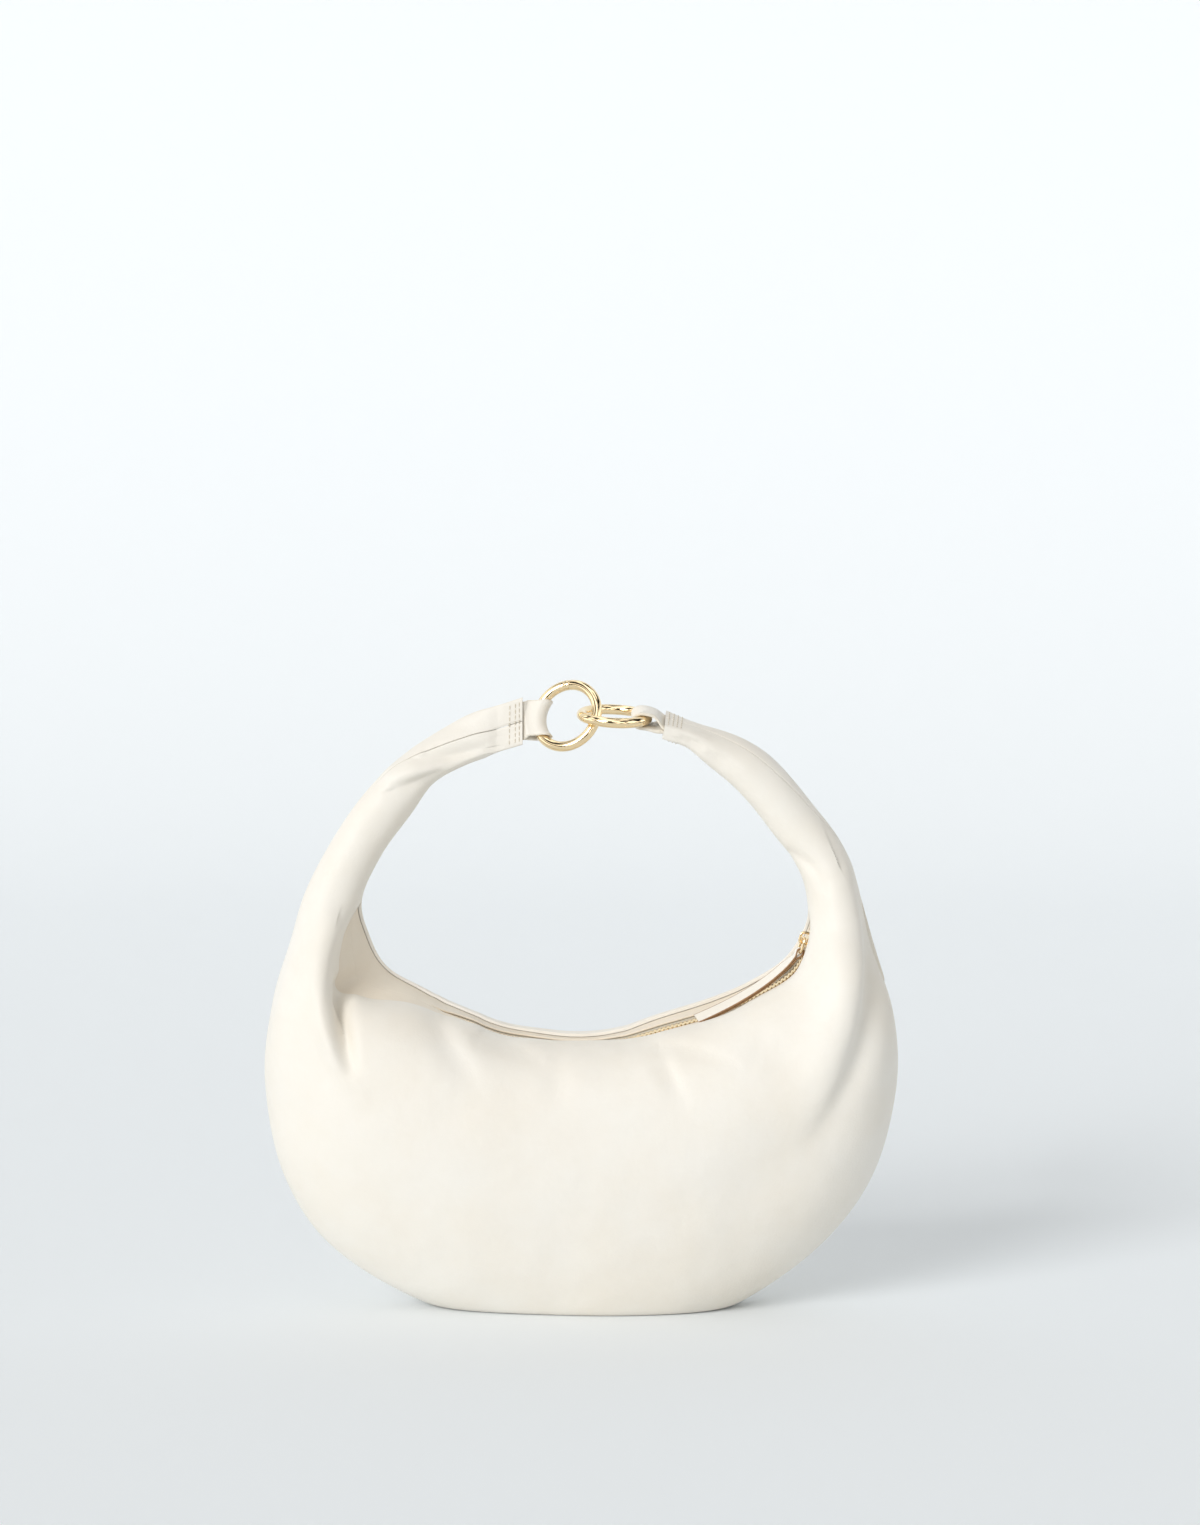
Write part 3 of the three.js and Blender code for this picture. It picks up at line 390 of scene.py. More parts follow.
def smooth(value):
    """An S-shaped step from 0 to 1."""
    value = np.clip(value, 0, 1)
    return value * value * (3 - 2 * value)


def mix(a, b, share):
    """From a at share 0 to b at share 1."""
    return a + (b - a) * share


def pressed(value, power):
    """A number to a power that keeps its sign: under 1, it presses a circle towards a square."""
    return np.sign(value) * np.abs(value) ** power


def column(name, s):
    """One column of SECTIONS at s from 0 to 1, on a uniform Catmull-Rom curve through the rows."""
    values = SECTIONS[:, SECTION_COLUMNS.index(name)]
    values = np.concatenate([[2 * values[0] - values[1]], values, [2 * values[-1] - values[-2]]])
    at = np.clip(s, 0, 1) * LAST_ROW
    i = np.minimum(np.floor(at).astype(int), LAST_ROW - 1)
    f = at - i
    p0, p1, p2, p3 = (values[i + k] for k in range(4))
    square = 2 * p0 - 5 * p1 + 4 * p2 - p3
    cube = 3 * p1 - p0 - 3 * p2 + p3
    return 0.5 * (2 * p1 + (p2 - p0) * f + square * f**2 + cube * f**3)


def ring_hold(centre, long, short, angle):
    """Where a strap holds a ring: the point of the wire's middle, the direction from there to the
    ring's centre, and the direction along the wire."""
    out = long * np.cos(angle) + short * np.sin(angle)
    return centre + out * RING_RADIUS, -out, short * np.cos(angle) - long * np.sin(angle)


left_hold = ring_hold(left_centre, left_long, left_short, np.pi + np.arctan2(left_short[0], left_long[0]))
right_hold = ring_hold(right_centre, right_long, right_short, 0)
left_tip_x = left_hold[0][0] - RING_WIRE / 2 - LOOP_NECK_LEFT
right_tip_x = right_hold[0][0] + RING_WIRE / 2 + LOOP_NECK_RIGHT
TIP_MOVES = np.array([
    [left_tip_x - SECTIONS[0, 0] * HALF_WIDTH, left_hold[0][1], 0],
    [right_tip_x - (SECTIONS[-1, 0] + SECTIONS[-1, 2]) / 2 * HALF_WIDTH, right_hold[0][1], 0],
])


def section(s):
    """A cross section at s: its middle, the directions along (inner to outer seam) and aside (to the
    back), its half sizes both ways, and the columns that shape it. All keep the shape of s."""
    s = np.asarray(s, dtype=float)
    tip = np.clip(column("tip", s), 0, 1)
    move = TIP_MOVES[(s >= 0.5).astype(int)] * np.clip(column("pull", s), 0, 1)[..., None]
    zero = np.zeros_like(s)
    inner = np.stack([column("in_x", s) * HALF_WIDTH, zero, column("in_z", s) * ARM_HEIGHT], -1) + move
    outer = np.stack([column("out_x", s) * HALF_WIDTH, zero, column("out_z", s) * ARM_HEIGHT], -1) + move
    length = np.linalg.norm(outer - inner, axis=-1)
    chord = unit(outer - inner)
    twist = np.radians(column("twist", s))[..., None]
    back = np.array([0, 1.0, 0])
    return {
        "middle": (inner + outer) / 2,
        "along": chord * np.cos(twist) + back * np.sin(twist),
        "aside": back * np.cos(twist) - chord * np.sin(twist),
        "half": mix(length / 2, TIP_THIN, tip),
        "deep": mix(column("depth", s) * BODY_DEPTH / 2, TIP_HALF, tip),
        "rim": np.maximum(column("rim", s), 0) * MOUTH_WIDTH / 2,
        "slide": np.maximum(column("slide", s), 0) * MOUTH_WIDTH,
        "full": column("full", s),
        "square": 1 - TIP_SQUARE * tip,
    }


def plain(s, t, side, inset):
    """The shell without folds. t runs from the mouth or inner seam at 0 to the outer seam at 1, side
    is -1 for the front half and 1 for the back, inset is the depth under the outer face. Along the
    section the point goes as the cosine of t's half turn, and aside of it as the sine, both to a
    power that squares the arms' ends, plus the rim's distance times (1 - t) squared."""
    s, t, inset = np.broadcast_arrays(s, t, inset)
    c = section(s)
    half = c["half"] - inset
    slide = c["slide"] if side < 0 else 0
    round_turn = pressed(np.cos(np.pi * t), c["square"])
    w = -half + slide + (2 * half - slide) * (1 - round_turn) / 2
    sine = np.sin(np.pi * np.clip(t, 0, 1) ** c["full"])
    bulge = (c["deep"] - inset) * np.maximum(sine, 0) ** c["square"]
    off = np.maximum(c["rim"] * (1 - t) ** 2 + bulge, GAP / 2)
    return c["middle"] + c["along"] * w[..., None] + c["aside"] * (side * off)[..., None]


def fold_lift(points, normals):
    """How far the folds lift the leather. For each fold the nearest place on its bend is found, seen
    along Y. The lift is its height times a bell over the distance, whose width differs on the two
    sides, times a sine that fades it out at both ends, where the leather faces that view."""
    lift = np.zeros(points.shape[:-1])
    x, z = points[..., 0], points[..., 2]
    u = np.linspace(0, 1, FOLD_STEPS + 1)[:, None]
    for view, *bend, left, right, high, first, last in FOLDS:
        a, b, c = np.array(bend).reshape(3, 2) * [HALF_WIDTH, ARM_HEIGHT]
        line = (1 - u) ** 2 * a + 2 * u * (1 - u) * b + u**2 * c
        nearest = np.full(x.shape, np.inf)
        share = np.zeros(x.shape)
        aside = np.zeros(x.shape)
        for k in range(FOLD_STEPS):
            step = line[k + 1] - line[k]
            along = ((x - line[k, 0]) * step[0] + (z - line[k, 1]) * step[1]) / (step @ step)
            along = np.clip(along, 0, 1)
            dx = x - line[k, 0] - along * step[0]
            dz = z - line[k, 1] - along * step[1]
            away = np.hypot(dx, dz)
            closer = away < nearest
            nearest = np.where(closer, away, nearest)
            share = np.where(closer, (k + along) / FOLD_STEPS, share)
            aside = np.where(closer, step[0] * dz - step[1] * dx, aside)
        width = mix(right, left, smooth(0.5 + aside / FOLD_SIDE_BLEND)) / 1000
        facing = smooth(0.5 + normals[..., 1] * view)
        fade = np.sin(np.pi * mix(first, last, share))
        lift += high / 1000 * facing * fade * np.exp(-((nearest / width) ** 2))
    return lift


def on_ground(z):
    """Heights under the ground become 0, with a round change over BASE_BLEND on both sides of it."""
    near = (np.clip(z, -BASE_BLEND, BASE_BLEND) + BASE_BLEND) ** 2 / (4 * BASE_BLEND)
    return np.where(z < BASE_BLEND, near, z)


def leather(s, t, side, inset=0.0):
    """The finished shell: the plain one, moved along its outward normal by the folds, kept off the
    seams' plane, and flattened where it rests."""
    s, t, inset = np.broadcast_arrays(s, t, inset)
    before, after = (np.clip(s + step, 0, 1) for step in (-NORMAL_STEP, NORMAL_STEP))
    nearer, farther = (np.clip(t + step, 0, 1) for step in (-NORMAL_STEP, NORMAL_STEP))
    along_s = plain(after, t, side, 0) - plain(before, t, side, 0)
    along_t = plain(s, farther, side, 0) - plain(s, nearer, side, 0)
    normal = unit(np.cross(along_s, along_t)) * side
    lift = fold_lift(plain(s, t, side, 0), normal)
    point = plain(s, t, side, inset) + normal * lift[..., None]
    c = section(s)
    off = side * np.sum((point - c["middle"]) * c["aside"], -1)
    point = point + c["aside"] * (side * np.maximum(GAP / 2 - off, 0))[..., None]
    point[..., 2] = inset + on_ground(point[..., 2] - inset)
    return point


def panel_lines(s, side):
    """Where the panel's points lie in each section: t and inset for every s. They are evenly spaced by
    length along the section, with extra ones at both edges, where the inset rounds the edge off as a
    quarter circle."""
    fine = (1 - np.cos(np.linspace(0, np.pi, LENGTH_STEPS + 1))) / 2
    line = plain(s[:, None], fine[None, :], side, 0)
    gone = np.linalg.norm(np.diff(line, axis=1), axis=-1).cumsum(1)
    gone = np.concatenate([np.zeros((len(s), 1)), gone], 1)
    length = gone[:, -1:]
    rim = mix(SEAM_ROUND, RIM_ROUND, smooth(column("rim", s) * 3))[:, None]
    seam = np.full_like(rim, SEAM_ROUND)
    middle = mix(rim, length - seam, np.linspace(0, 1, 2 * PANEL_COLUMNS + 1 - 2 * len(EDGE_PLACES)))
    place = np.concatenate([EDGE_PLACES * rim, middle, length - seam * EDGE_PLACES[::-1]], 1)
    half = place.shape[1] // 2
    near = np.concatenate([rim - place[:, :half], seam - (length - place[:, half:])], 1)
    size = np.where(np.arange(place.shape[1]) < half, rim, seam)
    near = np.maximum(near, 0)
    inset = size - np.sqrt(np.maximum(size**2 - near**2, 0))
    t = np.array([np.interp(p, g, fine) for p, g in zip(place, gone)])
    return t, inset


def panel(name, side):
    """A half shell: its outer face, and an inner face with half as many columns, joined round the
    edges. At the arms' ends, faces of five corners join two outer steps to one inner step."""
    s = np.linspace(0, 1, PANEL_ROWS)
    t, inset = panel_lines(s, side)
    outer = leather(s[:, None], t, side, inset)
    inner = leather(s[:, None], t[:, ::2], side, WALL)
    loops = np.concatenate([outer, inner[:, ::-1]], 1)
    rows, columns = loops.shape[:2]
    index = np.arange(rows * columns).reshape(rows, columns)
    a, b = index[:-1], index[1:]
    walls = np.stack([a, b, np.roll(b, -1, 1), np.roll(a, -1, 1)], -1).reshape(-1, 4)
    k = np.arange(PANEL_COLUMNS)
    last = columns - 1
    ends = []
    for end, flip in ((index[0], 1), (index[-1], -1)):
        corners = [end[2 * k], end[2 * k + 1], end[2 * k + 2], end[last - 1 - k], end[last - k]]
        ends.append(np.stack(corners, -1)[:, ::flip])
    return mesh_of(name, loops.reshape(-1, 3), walls, *ends)


def leather_finish(name, pale, warm, rough):
    """Smooth soft leather: its colour drifts a little between two tones, its gloss changes in clouds,
    and soft waves, fine creases, pebbled grain and pores lie over each other on it."""
    made, tree, shader = new_material(name)
    place = node(tree, "TexCoord").outputs["Object"]
    cloud = node(tree, "TexNoise", Vector=place, Scale=16, Detail=4, Roughness=0.6).outputs["Fac"]
    tone = ramp(tree, cloud, (0.35, pale), (0.68, warm))
    cloudy_gloss(tree, shader, cloud, rough - 0.06, rough + 0.07)
    wave = node(tree, "TexNoise", Vector=place, Scale=26, Detail=2, Roughness=0.45).outputs["Fac"]
    grain = node(tree, "TexVoronoi", {"feature": "SMOOTH_F1"}, Vector=place, Scale=950).outputs["Distance"]
    pore = node(tree, "TexNoise", Vector=place, Scale=2600, Detail=3).outputs["Fac"]
    crease = node(tree, "TexNoise", Vector=place, Scale=160, Detail=6, Roughness=0.62).outputs["Fac"]
    waved = bumped(tree, wave, 0.35, 0.006)
    creased = bumped(tree, crease, 0.22, 0.0012, Normal=waved)
    grained = bumped(tree, grain, 0.25, 0.00012, Normal=creased)
    tree.links.new(tone, shader.inputs["Base Color"])
    tree.links.new(bumped(tree, pore, 0.15, 0.00006, Normal=grained), shader.inputs["Normal"])
    shader.inputs["Specular IOR Level"].default_value = 0.35
    return made


cream_leather = leather_finish(
    "cream_leather", pale=(0.875, 0.842, 0.775), warm=(0.855, 0.806, 0.718), rough=0.50,
)
front_panel = panel("front_leather", -1)
back_panel = panel("back_leather", 1)
for shell, shell_node in ((front_panel, "front_panel"), (back_panel, "back_panel")):
    shell.data.materials.append(cream_leather)
    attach(shell, "root")
    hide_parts(shell_node)

# Facings
# Strips of thinner leather that hang from under each rim down to the zip, and close the mouth past
# both ends of it. Their free edges are turned and round.
FACING_THICK = 0.0012
MOUTH_SINK = 0.001
ZIP_OPEN = 0.011
FACING_FROM, FACING_TO = np.array([6.15, 19.5]) / LAST_ROW
TAPE_FROM, ZIP_FROM, ZIP_TO = np.array([8.45, 9.1, 19.1]) / LAST_ROW
FACING_ROWS = 220
FACING_COLUMNS = 14
FACING_BEND_STEPS = 6
FACING_LIFT = 0.0005
FACING_SAG = 0.6
ZIP_EASE = 0.6 / LAST_ROW
MOUTH_STEP = 0.004
TUCK = 0.3
SHOULDER = 1 / 16


def mouth(s):
    """The mouth at s: its centre between the rims and a little under them, the directions ahead,
    across to the back and up, and half its width."""
    def rim(at, side):
        return leather(at, np.zeros_like(at), side, WALL + GAP + FACING_THICK)

    front, back = rim(s, -1), rim(s, 1)
    across = unit(back - front)
    before, after = s - MOUTH_STEP, s + MOUTH_STEP
    ahead = unit(rim(after, -1) + rim(after, 1) - rim(before, -1) - rim(before, 1))
    up = unit(np.cross(ahead, across))
    return {
        "centre": (front + back) / 2 - up * MOUTH_SINK,
        "ahead": ahead,
        "across": across,
        "up": up,
        "half": np.linalg.norm(back - front, axis=-1) / 2,
    }


def at_mouth(m, across, up):
    """Points at a distance across the mouth and above its centre."""
    return m["centre"] + m["across"] * np.asarray(across)[..., None] + m["up"] * np.asarray(up)[..., None]


def facing_edge(s):
    """Half the opening between the facings: the zip's, closing at its ends, where the facings' edges
    overlap by a hair."""
    open_share = smooth((s - ZIP_FROM) / ZIP_EASE / 2) * smooth((ZIP_TO + ZIP_EASE * 2 - s) / ZIP_EASE)
    return mix(-GAP, ZIP_OPEN / 2, open_share)


def facing(name, side):
    """A strip whose section runs from under the rim in a shallow curve to the free edge, round that
    edge in a half circle, and back below."""
    s = np.linspace(FACING_FROM, FACING_TO, FACING_ROWS)
    m = mouth(s)
    edge = np.minimum(facing_edge(s), m["half"] - GAP)
    zero = np.zeros_like(s)
    low = zero + FACING_LIFT + GAP

    def face(depth):
        rim = leather(s, zero, side, WALL + GAP + depth)
        shoulder = leather(s, zero + SHOULDER, side, WALL + GAP + depth)
        free = at_mouth(m, side * (edge + FACING_THICK / 2), low + FACING_THICK - depth)
        tucked = [mix(rim, shoulder, share) for share in (TUCK, TUCK / 2)]
        v = np.linspace(0, 1, FACING_COLUMNS)[:, None, None]
        hung = mix(rim, free, v) - m["up"] * MOUTH_SINK * FACING_SAG * v * (1 - v)
        return np.concatenate([np.stack(tucked), hung])

    bend = np.linspace(0, np.pi, FACING_BEND_STEPS + 1)[1:-1]
    rounded = np.stack([
        at_mouth(
            m,
            side * (edge + FACING_THICK / 2 * (1 - np.sin(angle))),
            low + FACING_THICK / 2 * (1 + np.cos(angle)),
        )
        for angle in bend
    ])
    # The end caps need an even number of points, so the lower face's most tucked one is left out.
    loops = np.concatenate([face(0), rounded, face(FACING_THICK)[:0:-1]])
    return solid_of(name, loops.transpose(1, 0, 2))


# The facings get a darker, warmer colour than the body's leather: painted shade for the hollow of the mouth.
facing_leather_painted_shade = leather_finish(
    "facing_leather_painted_shade", pale=(0.87, 0.80, 0.69), warm=(0.84, 0.75, 0.62), rough=0.60,
)
for side, side_name in ((-1, "front"), (1, "back")):
    strip = facing("facing_leather_" + side_name, side)
    strip.data.materials.append(facing_leather_painted_shade)
    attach(strip, "root")
    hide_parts("facing_" + side_name)

# Zip tape
# Two woven ribbons, sewn under the facings' free edges. Their inner edges lie side by side and carry
# the teeth.
TAPE_THICK = 0.001
TAPE_LAP = 0.003
TEETH_WIDE = 0.0056
SLIDER_LENGTH = 0.010
TAPE_ROWS = 160
MOUTH_POINTS = 321

mouth_s = np.linspace(TAPE_FROM, FACING_TO, MOUTH_POINTS)
mouth_length = np.linalg.norm(np.diff(mouth(mouth_s)["centre"], axis=0), axis=-1).cumsum()
mouth_length = np.concatenate([[0], mouth_length])
ZIP_START, zip_end = np.interp([ZIP_FROM, ZIP_TO], mouth_s, mouth_length)
ZIP_LENGTH = zip_end - ZIP_START


def mouth_at(length):
    """The mouth at a length along its middle from the tapes' start."""
    return mouth(np.interp(length, mouth_length, mouth_s))


def woven_finish(name, colour, dark):
    """Plain weave: two sets of fine waves across each other darken and roughen the cloth."""
    made, tree, shader = new_material(name)
    place = node(tree, "TexCoord").outputs["Object"]
    warp = node(tree, "TexWave", {"bands_direction": "X"}, Vector=place, Scale=420, Distortion=0.6)
    weft = node(tree, "TexWave", {"bands_direction": "Y"}, Vector=place, Scale=420, Distortion=0.6)
    over = node(tree, "Math", {"operation": "MAXIMUM"})
    tree.links.new(warp.outputs["Fac"], over.inputs[0])
    tree.links.new(weft.outputs["Fac"], over.inputs[1])
    tree.links.new(ramp(tree, over.outputs["Value"], (0.2, dark), (0.9, colour)), shader.inputs["Base Color"])
    tree.links.new(bumped(tree, over.outputs["Value"], 0.5, 0.0002), shader.inputs["Normal"])
    shader.inputs["Roughness"].default_value = 0.9
    shader.inputs["Sheen Weight"].default_value = 0.2
    return made


tape_cloth = woven_finish("zip_tape", colour=(0.74, 0.68, 0.56), dark=(0.46, 0.40, 0.30))
for side, side_name in ((-1, "front"), (1, "back")):
    m = mouth_at(np.linspace(0, zip_end + SLIDER_LENGTH / 2, TAPE_ROWS))
    outer_edge = np.minimum(ZIP_OPEN / 2 + TAPE_LAP, np.maximum(m["half"], ZIP_OPEN / 2 + GAP * 2))
    inner_edge = TEETH_WIDE / 2 + GAP
    corners = [(0, 1), (0.5, 1), (1, 1), (1, -1), (0.5, -1), (0, -1)]
    tape_loops = np.stack([
        at_mouth(m, side * mix(inner_edge, outer_edge, share), up * TAPE_THICK / 2 + 0 * m["half"])
        for share, up in corners
    ], 1)
    tape = solid_of("tape_cloth_" + side_name, tape_loops)
    tape.data.materials.append(tape_cloth)
    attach(tape, "root")
    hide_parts("zip_tape_" + side_name)

# Zip teeth
# A closed row of brass teeth, pinched over the two tapes' edges in turn, one about every 2.4 mm.
TEETH_PITCH = 0.0024
TEETH_THICK = 0.0022
TOOTH_LENGTH = 0.0017
TOOTH_WIDTH = 0.0042
TOOTH_ROUND = 0.45


def pebble(rows, columns, power):
    """A rounded block of half size 1, as unit points: the sines and cosines of latitude and longitude
    to a power under 1 press the sphere towards a box. The two poles are single points."""
    lat = np.linspace(-np.pi / 2, np.pi / 2, rows + 1)[1:-1][:, None]
    lon = np.linspace(0, 2 * np.pi, columns, endpoint=False)[None, :]
    girth = pressed(np.cos(lat), power)
    body = np.stack([
        girth * pressed(np.cos(lon), power),
        girth * pressed(np.sin(lon), power),
        pressed(np.sin(lat), power) + 0 * lon,
    ], -1)
    points = np.concatenate([body.reshape(-1, 3), [[0, 0, -1], [0, 0, 1]]])
    index = np.arange((rows - 1) * columns).reshape(rows - 1, columns)
    a, b = index[:-1], index[1:]
    quads = np.stack([a, np.roll(a, -1, 1), np.roll(b, -1, 1), b], -1).reshape(-1, 4)
    low, high = len(points) - 2, len(points) - 1
    first, last = index[0], index[-1]
    under = np.stack([np.full(columns, low), np.roll(first, -1), first], -1)
    over = np.stack([np.full(columns, high), last, np.roll(last, -1)], -1)
    return points, quads, np.concatenate([under, over])


def copies(name, shape, places, axes):
    """One mesh of many copies of a shape: each is put at its place with its own three scaled axes."""
    points, quads, triangles = shape
    placed = places[:, None] + np.einsum("pk,nkd->npd", points, axes)
    shift = (np.arange(len(places)) * len(points))[:, None, None]
    quads = (quads + shift).reshape(-1, 4)
    triangles = (triangles + shift).reshape(-1, 3)
    return mesh_of(name, placed.reshape(-1, 3), quads, triangles)


tooth_count = int(ZIP_LENGTH / TEETH_PITCH) * 2
tooth_at = ZIP_START + (np.arange(tooth_count) + 0.5) * TEETH_PITCH / 2
m = mouth_at(tooth_at)
hand = np.where(np.arange(tooth_count) % 2, 1, -1)
tooth_axes = np.stack([
    m["ahead"] * TOOTH_LENGTH / 2,
    m["across"] * TOOTH_WIDTH / 2,
    m["up"] * TEETH_THICK / 2,
], 1)
tooth_places = at_mouth(m, hand * (TEETH_WIDE - TOOTH_WIDTH) / 2, 0 * tooth_at)
tooth = pebble(rows=6, columns=12, power=TOOTH_ROUND)
teeth = copies("zip_teeth_row", tooth, tooth_places, tooth_axes)
teeth.data.materials.append(gold)
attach(teeth, "root")
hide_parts("zip_teeth")

# Zip slider and its link
# Cast brass, plated: two plates round the teeth with a post between them, a bridge on the upper
# one, and a wire link that is held under the bridge and carries the pull.
SLIDER_WIDTH = 0.0084
SLIDER_PLATE = 0.0012
SLIDER_OUTLINE = [-0.5, 0.15, 0.4, 0.5], [0.30, 0.50, 0.42, 0.22]
CAST_SQUARE = 0.4
CAST_THIN = 0.2
PLATE_END_WIDE = 0.85
PLATE_END_THIN = 0.02
POST_FROM, POST_TO = 0.22, 0.49
POST_HALF = [0.0003, 0.0016]
POST_REACH = 1.2
BRIDGE_HEIGHT = 0.0046
BRIDGE_BEAM = 0.001
BRIDGE_REACH = 0.30
BRIDGE_WIRE = 0.0014
WIRE_SQUARE = 0.45
WIRE_SIDES = 14
LINK_WIRE = 0.0014
LINK_LENGTH = 0.0096
LINK_BREADTH = 0.0080
SLIDER_INNER = TEETH_THICK / 2 + GAP
SLIDER_TOP = SLIDER_INNER + SLIDER_PLATE
SLIDER_AT = ZIP_START + int(ZIP_LENGTH / TEETH_PITCH) * TEETH_PITCH + GAP - SLIDER_LENGTH * POST_FROM
LINK_RISE = SLIDER_TOP + (BRIDGE_HEIGHT - BRIDGE_BEAM) / 2
LINK_BACK = (LINK_LENGTH - LINK_WIRE) / 2
slider_mouth = {key: value[0] for key, value in mouth_at(np.array([SLIDER_AT])).items()}


def at_slider(points):
    """Points drawn with x along the mouth, y across it and z up, put where the slider is."""
    aside = np.cross(slider_mouth["up"], slider_mouth["ahead"])
    return slider_mouth["centre"] + points @ np.stack([slider_mouth["ahead"], aside, slider_mouth["up"]])


def turns(count):
    """Angles of a whole turn, each in the middle of its step."""
    return (np.arange(count) + 0.5) * 2 * np.pi / count


def plate(low, high):
    """A slider's plate between two heights: its half width follows the outline along x, and its section
    is a rounded block whose thickness runs out at both ends."""
    x = SLIDER_LENGTH / 2 * np.sin(np.linspace(-np.pi / 2, np.pi / 2, 33))[:, None]
    wide = np.interp(x / SLIDER_LENGTH, *SLIDER_OUTLINE) * SLIDER_WIDTH
    thin = pressed(1 - (2 * x / SLIDER_LENGTH) ** 2, CAST_THIN)
    turn = turns(24)
    y = wide * pressed(np.cos(turn), CAST_SQUARE) * mix(PLATE_END_WIDE, 1, thin)
    thin = np.maximum(thin, PLATE_END_THIN)
    z = (low + high) / 2 + (high - low) / 2 * pressed(np.sin(turn), CAST_SQUARE) * thin
    return np.stack([x + 0 * y, y, z], -1)


def wire_loops(path, radius, plane_normal, joined=False):
    """Circles round a path that lies in one plane: path + radius times (its side cos v + the plane's
    normal sin v). A joined path runs on from its last point to its first."""
    ahead = unit(np.roll(path, -1, 0) - np.roll(path, 1, 0) if joined else np.gradient(path, axis=0))
    side = np.cross(plane_normal, ahead)[:, None]
    v = np.linspace(0, 2 * np.pi, WIRE_SIDES, endpoint=False)[None, :, None]
    return path[:, None] + radius * (side * np.cos(v) + plane_normal * np.sin(v))


slider_pieces = [
    solid_of("slider_upper_plate", at_slider(plate(SLIDER_INNER, SLIDER_TOP))),
    solid_of("slider_lower_plate", at_slider(plate(-SLIDER_TOP, -SLIDER_INNER))),
]
post_x = np.linspace(POST_FROM, POST_TO, 9) * SLIDER_LENGTH
post_turn = turns(16)
post_wide = np.interp(post_x, [post_x[0], post_x[-1]], POST_HALF)[:, None]
post_loops = np.stack([
    post_x[:, None] + 0 * post_turn,
    post_wide * pressed(np.cos(post_turn), CAST_SQUARE),
    SLIDER_INNER * POST_REACH * pressed(np.sin(post_turn), CAST_SQUARE) + 0 * post_wide,
], -1)
slider_pieces.append(solid_of("slider_post", at_slider(post_loops)))
arch = np.linspace(0, np.pi, 41)
arch_rise = BRIDGE_HEIGHT + SLIDER_PLATE / 2 - BRIDGE_WIRE / 2
arch_path = np.stack([
    -SLIDER_LENGTH * BRIDGE_REACH * pressed(np.cos(arch), WIRE_SQUARE),
    0 * arch,
    SLIDER_TOP - SLIDER_PLATE / 2 + arch_rise * pressed(np.sin(arch), WIRE_SQUARE),
], -1)
arch_loops = wire_loops(arch_path, BRIDGE_WIRE / 2, np.array([0, 1.0, 0]))
slider_pieces.append(solid_of("slider_bridge", at_slider(arch_loops)))
for piece in slider_pieces:
    piece.data.materials.append(gold)
    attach(piece, "root")
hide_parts("zip_slider")

lap = np.linspace(0, 2 * np.pi, 64, endpoint=False)
link_path = np.stack([
    LINK_BACK * pressed(np.cos(lap), WIRE_SQUARE) - LINK_BACK,
    (LINK_BREADTH - LINK_WIRE) / 2 * pressed(np.sin(lap), WIRE_SQUARE),
    LINK_RISE + 0 * lap,
], -1)
link_loops = wire_loops(link_path, LINK_WIRE / 2, np.array([0, 0, 1.0]), joined=True)
pull_link = solid_of("pull_link_wire", at_slider(link_loops), joined=True)
pull_link.data.materials.append(gold)
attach(pull_link, "root")
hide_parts("zip_pull_link")

# Leather pull
# A narrow strip of the same leather, folded round the link and sewn to itself, a little wider at its
# free end. Its cut edges are painted tan.
PULL_LENGTH = 0.066
PULL_WIDTH = 0.0056
PULL_THICK = 0.0024
PULL_EYE = 0.00135
PULL_EYE_SHARE = 0.7
PULL_FLARE = 0.3
PULL_DRIFT = 0.0072
PULL_ROLL = np.radians(24)
PULL_LIFT = 0.0012
PULL_SAG = 0.85
PULL_LAID_BY = 1 / 4
PULL_WIDE_BY = 1 / 7
LEAD_STEPS = 6
BEND_STEPS = 14
EDGE_STEPS = 4
EDGE_ROUND = 0.45
PULL_REST = MOUTH_SINK + FACING_THICK + PULL_THICK / 2 + GAP * 2


def folded_line(start, reach, rest, bend, steps, ease=0.6):
    """The middle line of a strap folded round a wire, as u towards the wire and h off the middle: both
    layers lie at rest, open to bend over the share ease of the way, and meet in a half circle round
    the wire at reach. A strap tucked in from a start under 0 opens at 0, another one at the wire."""
    share = np.linspace(0, 1, steps)
    if start < 0:
        lead_u = np.linspace(start, 0, LEAD_STEPS + 1)[:-1]
        opened = smooth(share / ease)
    else:
        lead_u = np.array([])
        opened = smooth((share - 1 + ease) / ease)
    u = np.concatenate([lead_u, reach * share])
    h = np.concatenate([0 * lead_u + rest, mix(rest, bend, opened)])
    angle = np.linspace(np.pi / 2, 0, BEND_STEPS + 1)[1:]
    u = np.concatenate([u, reach + bend * np.cos(angle)])
    h = np.concatenate([h, bend * np.sin(angle)])
    return np.concatenate([u, u[-2::-1]]), np.concatenate([h, -h[-2::-1]])


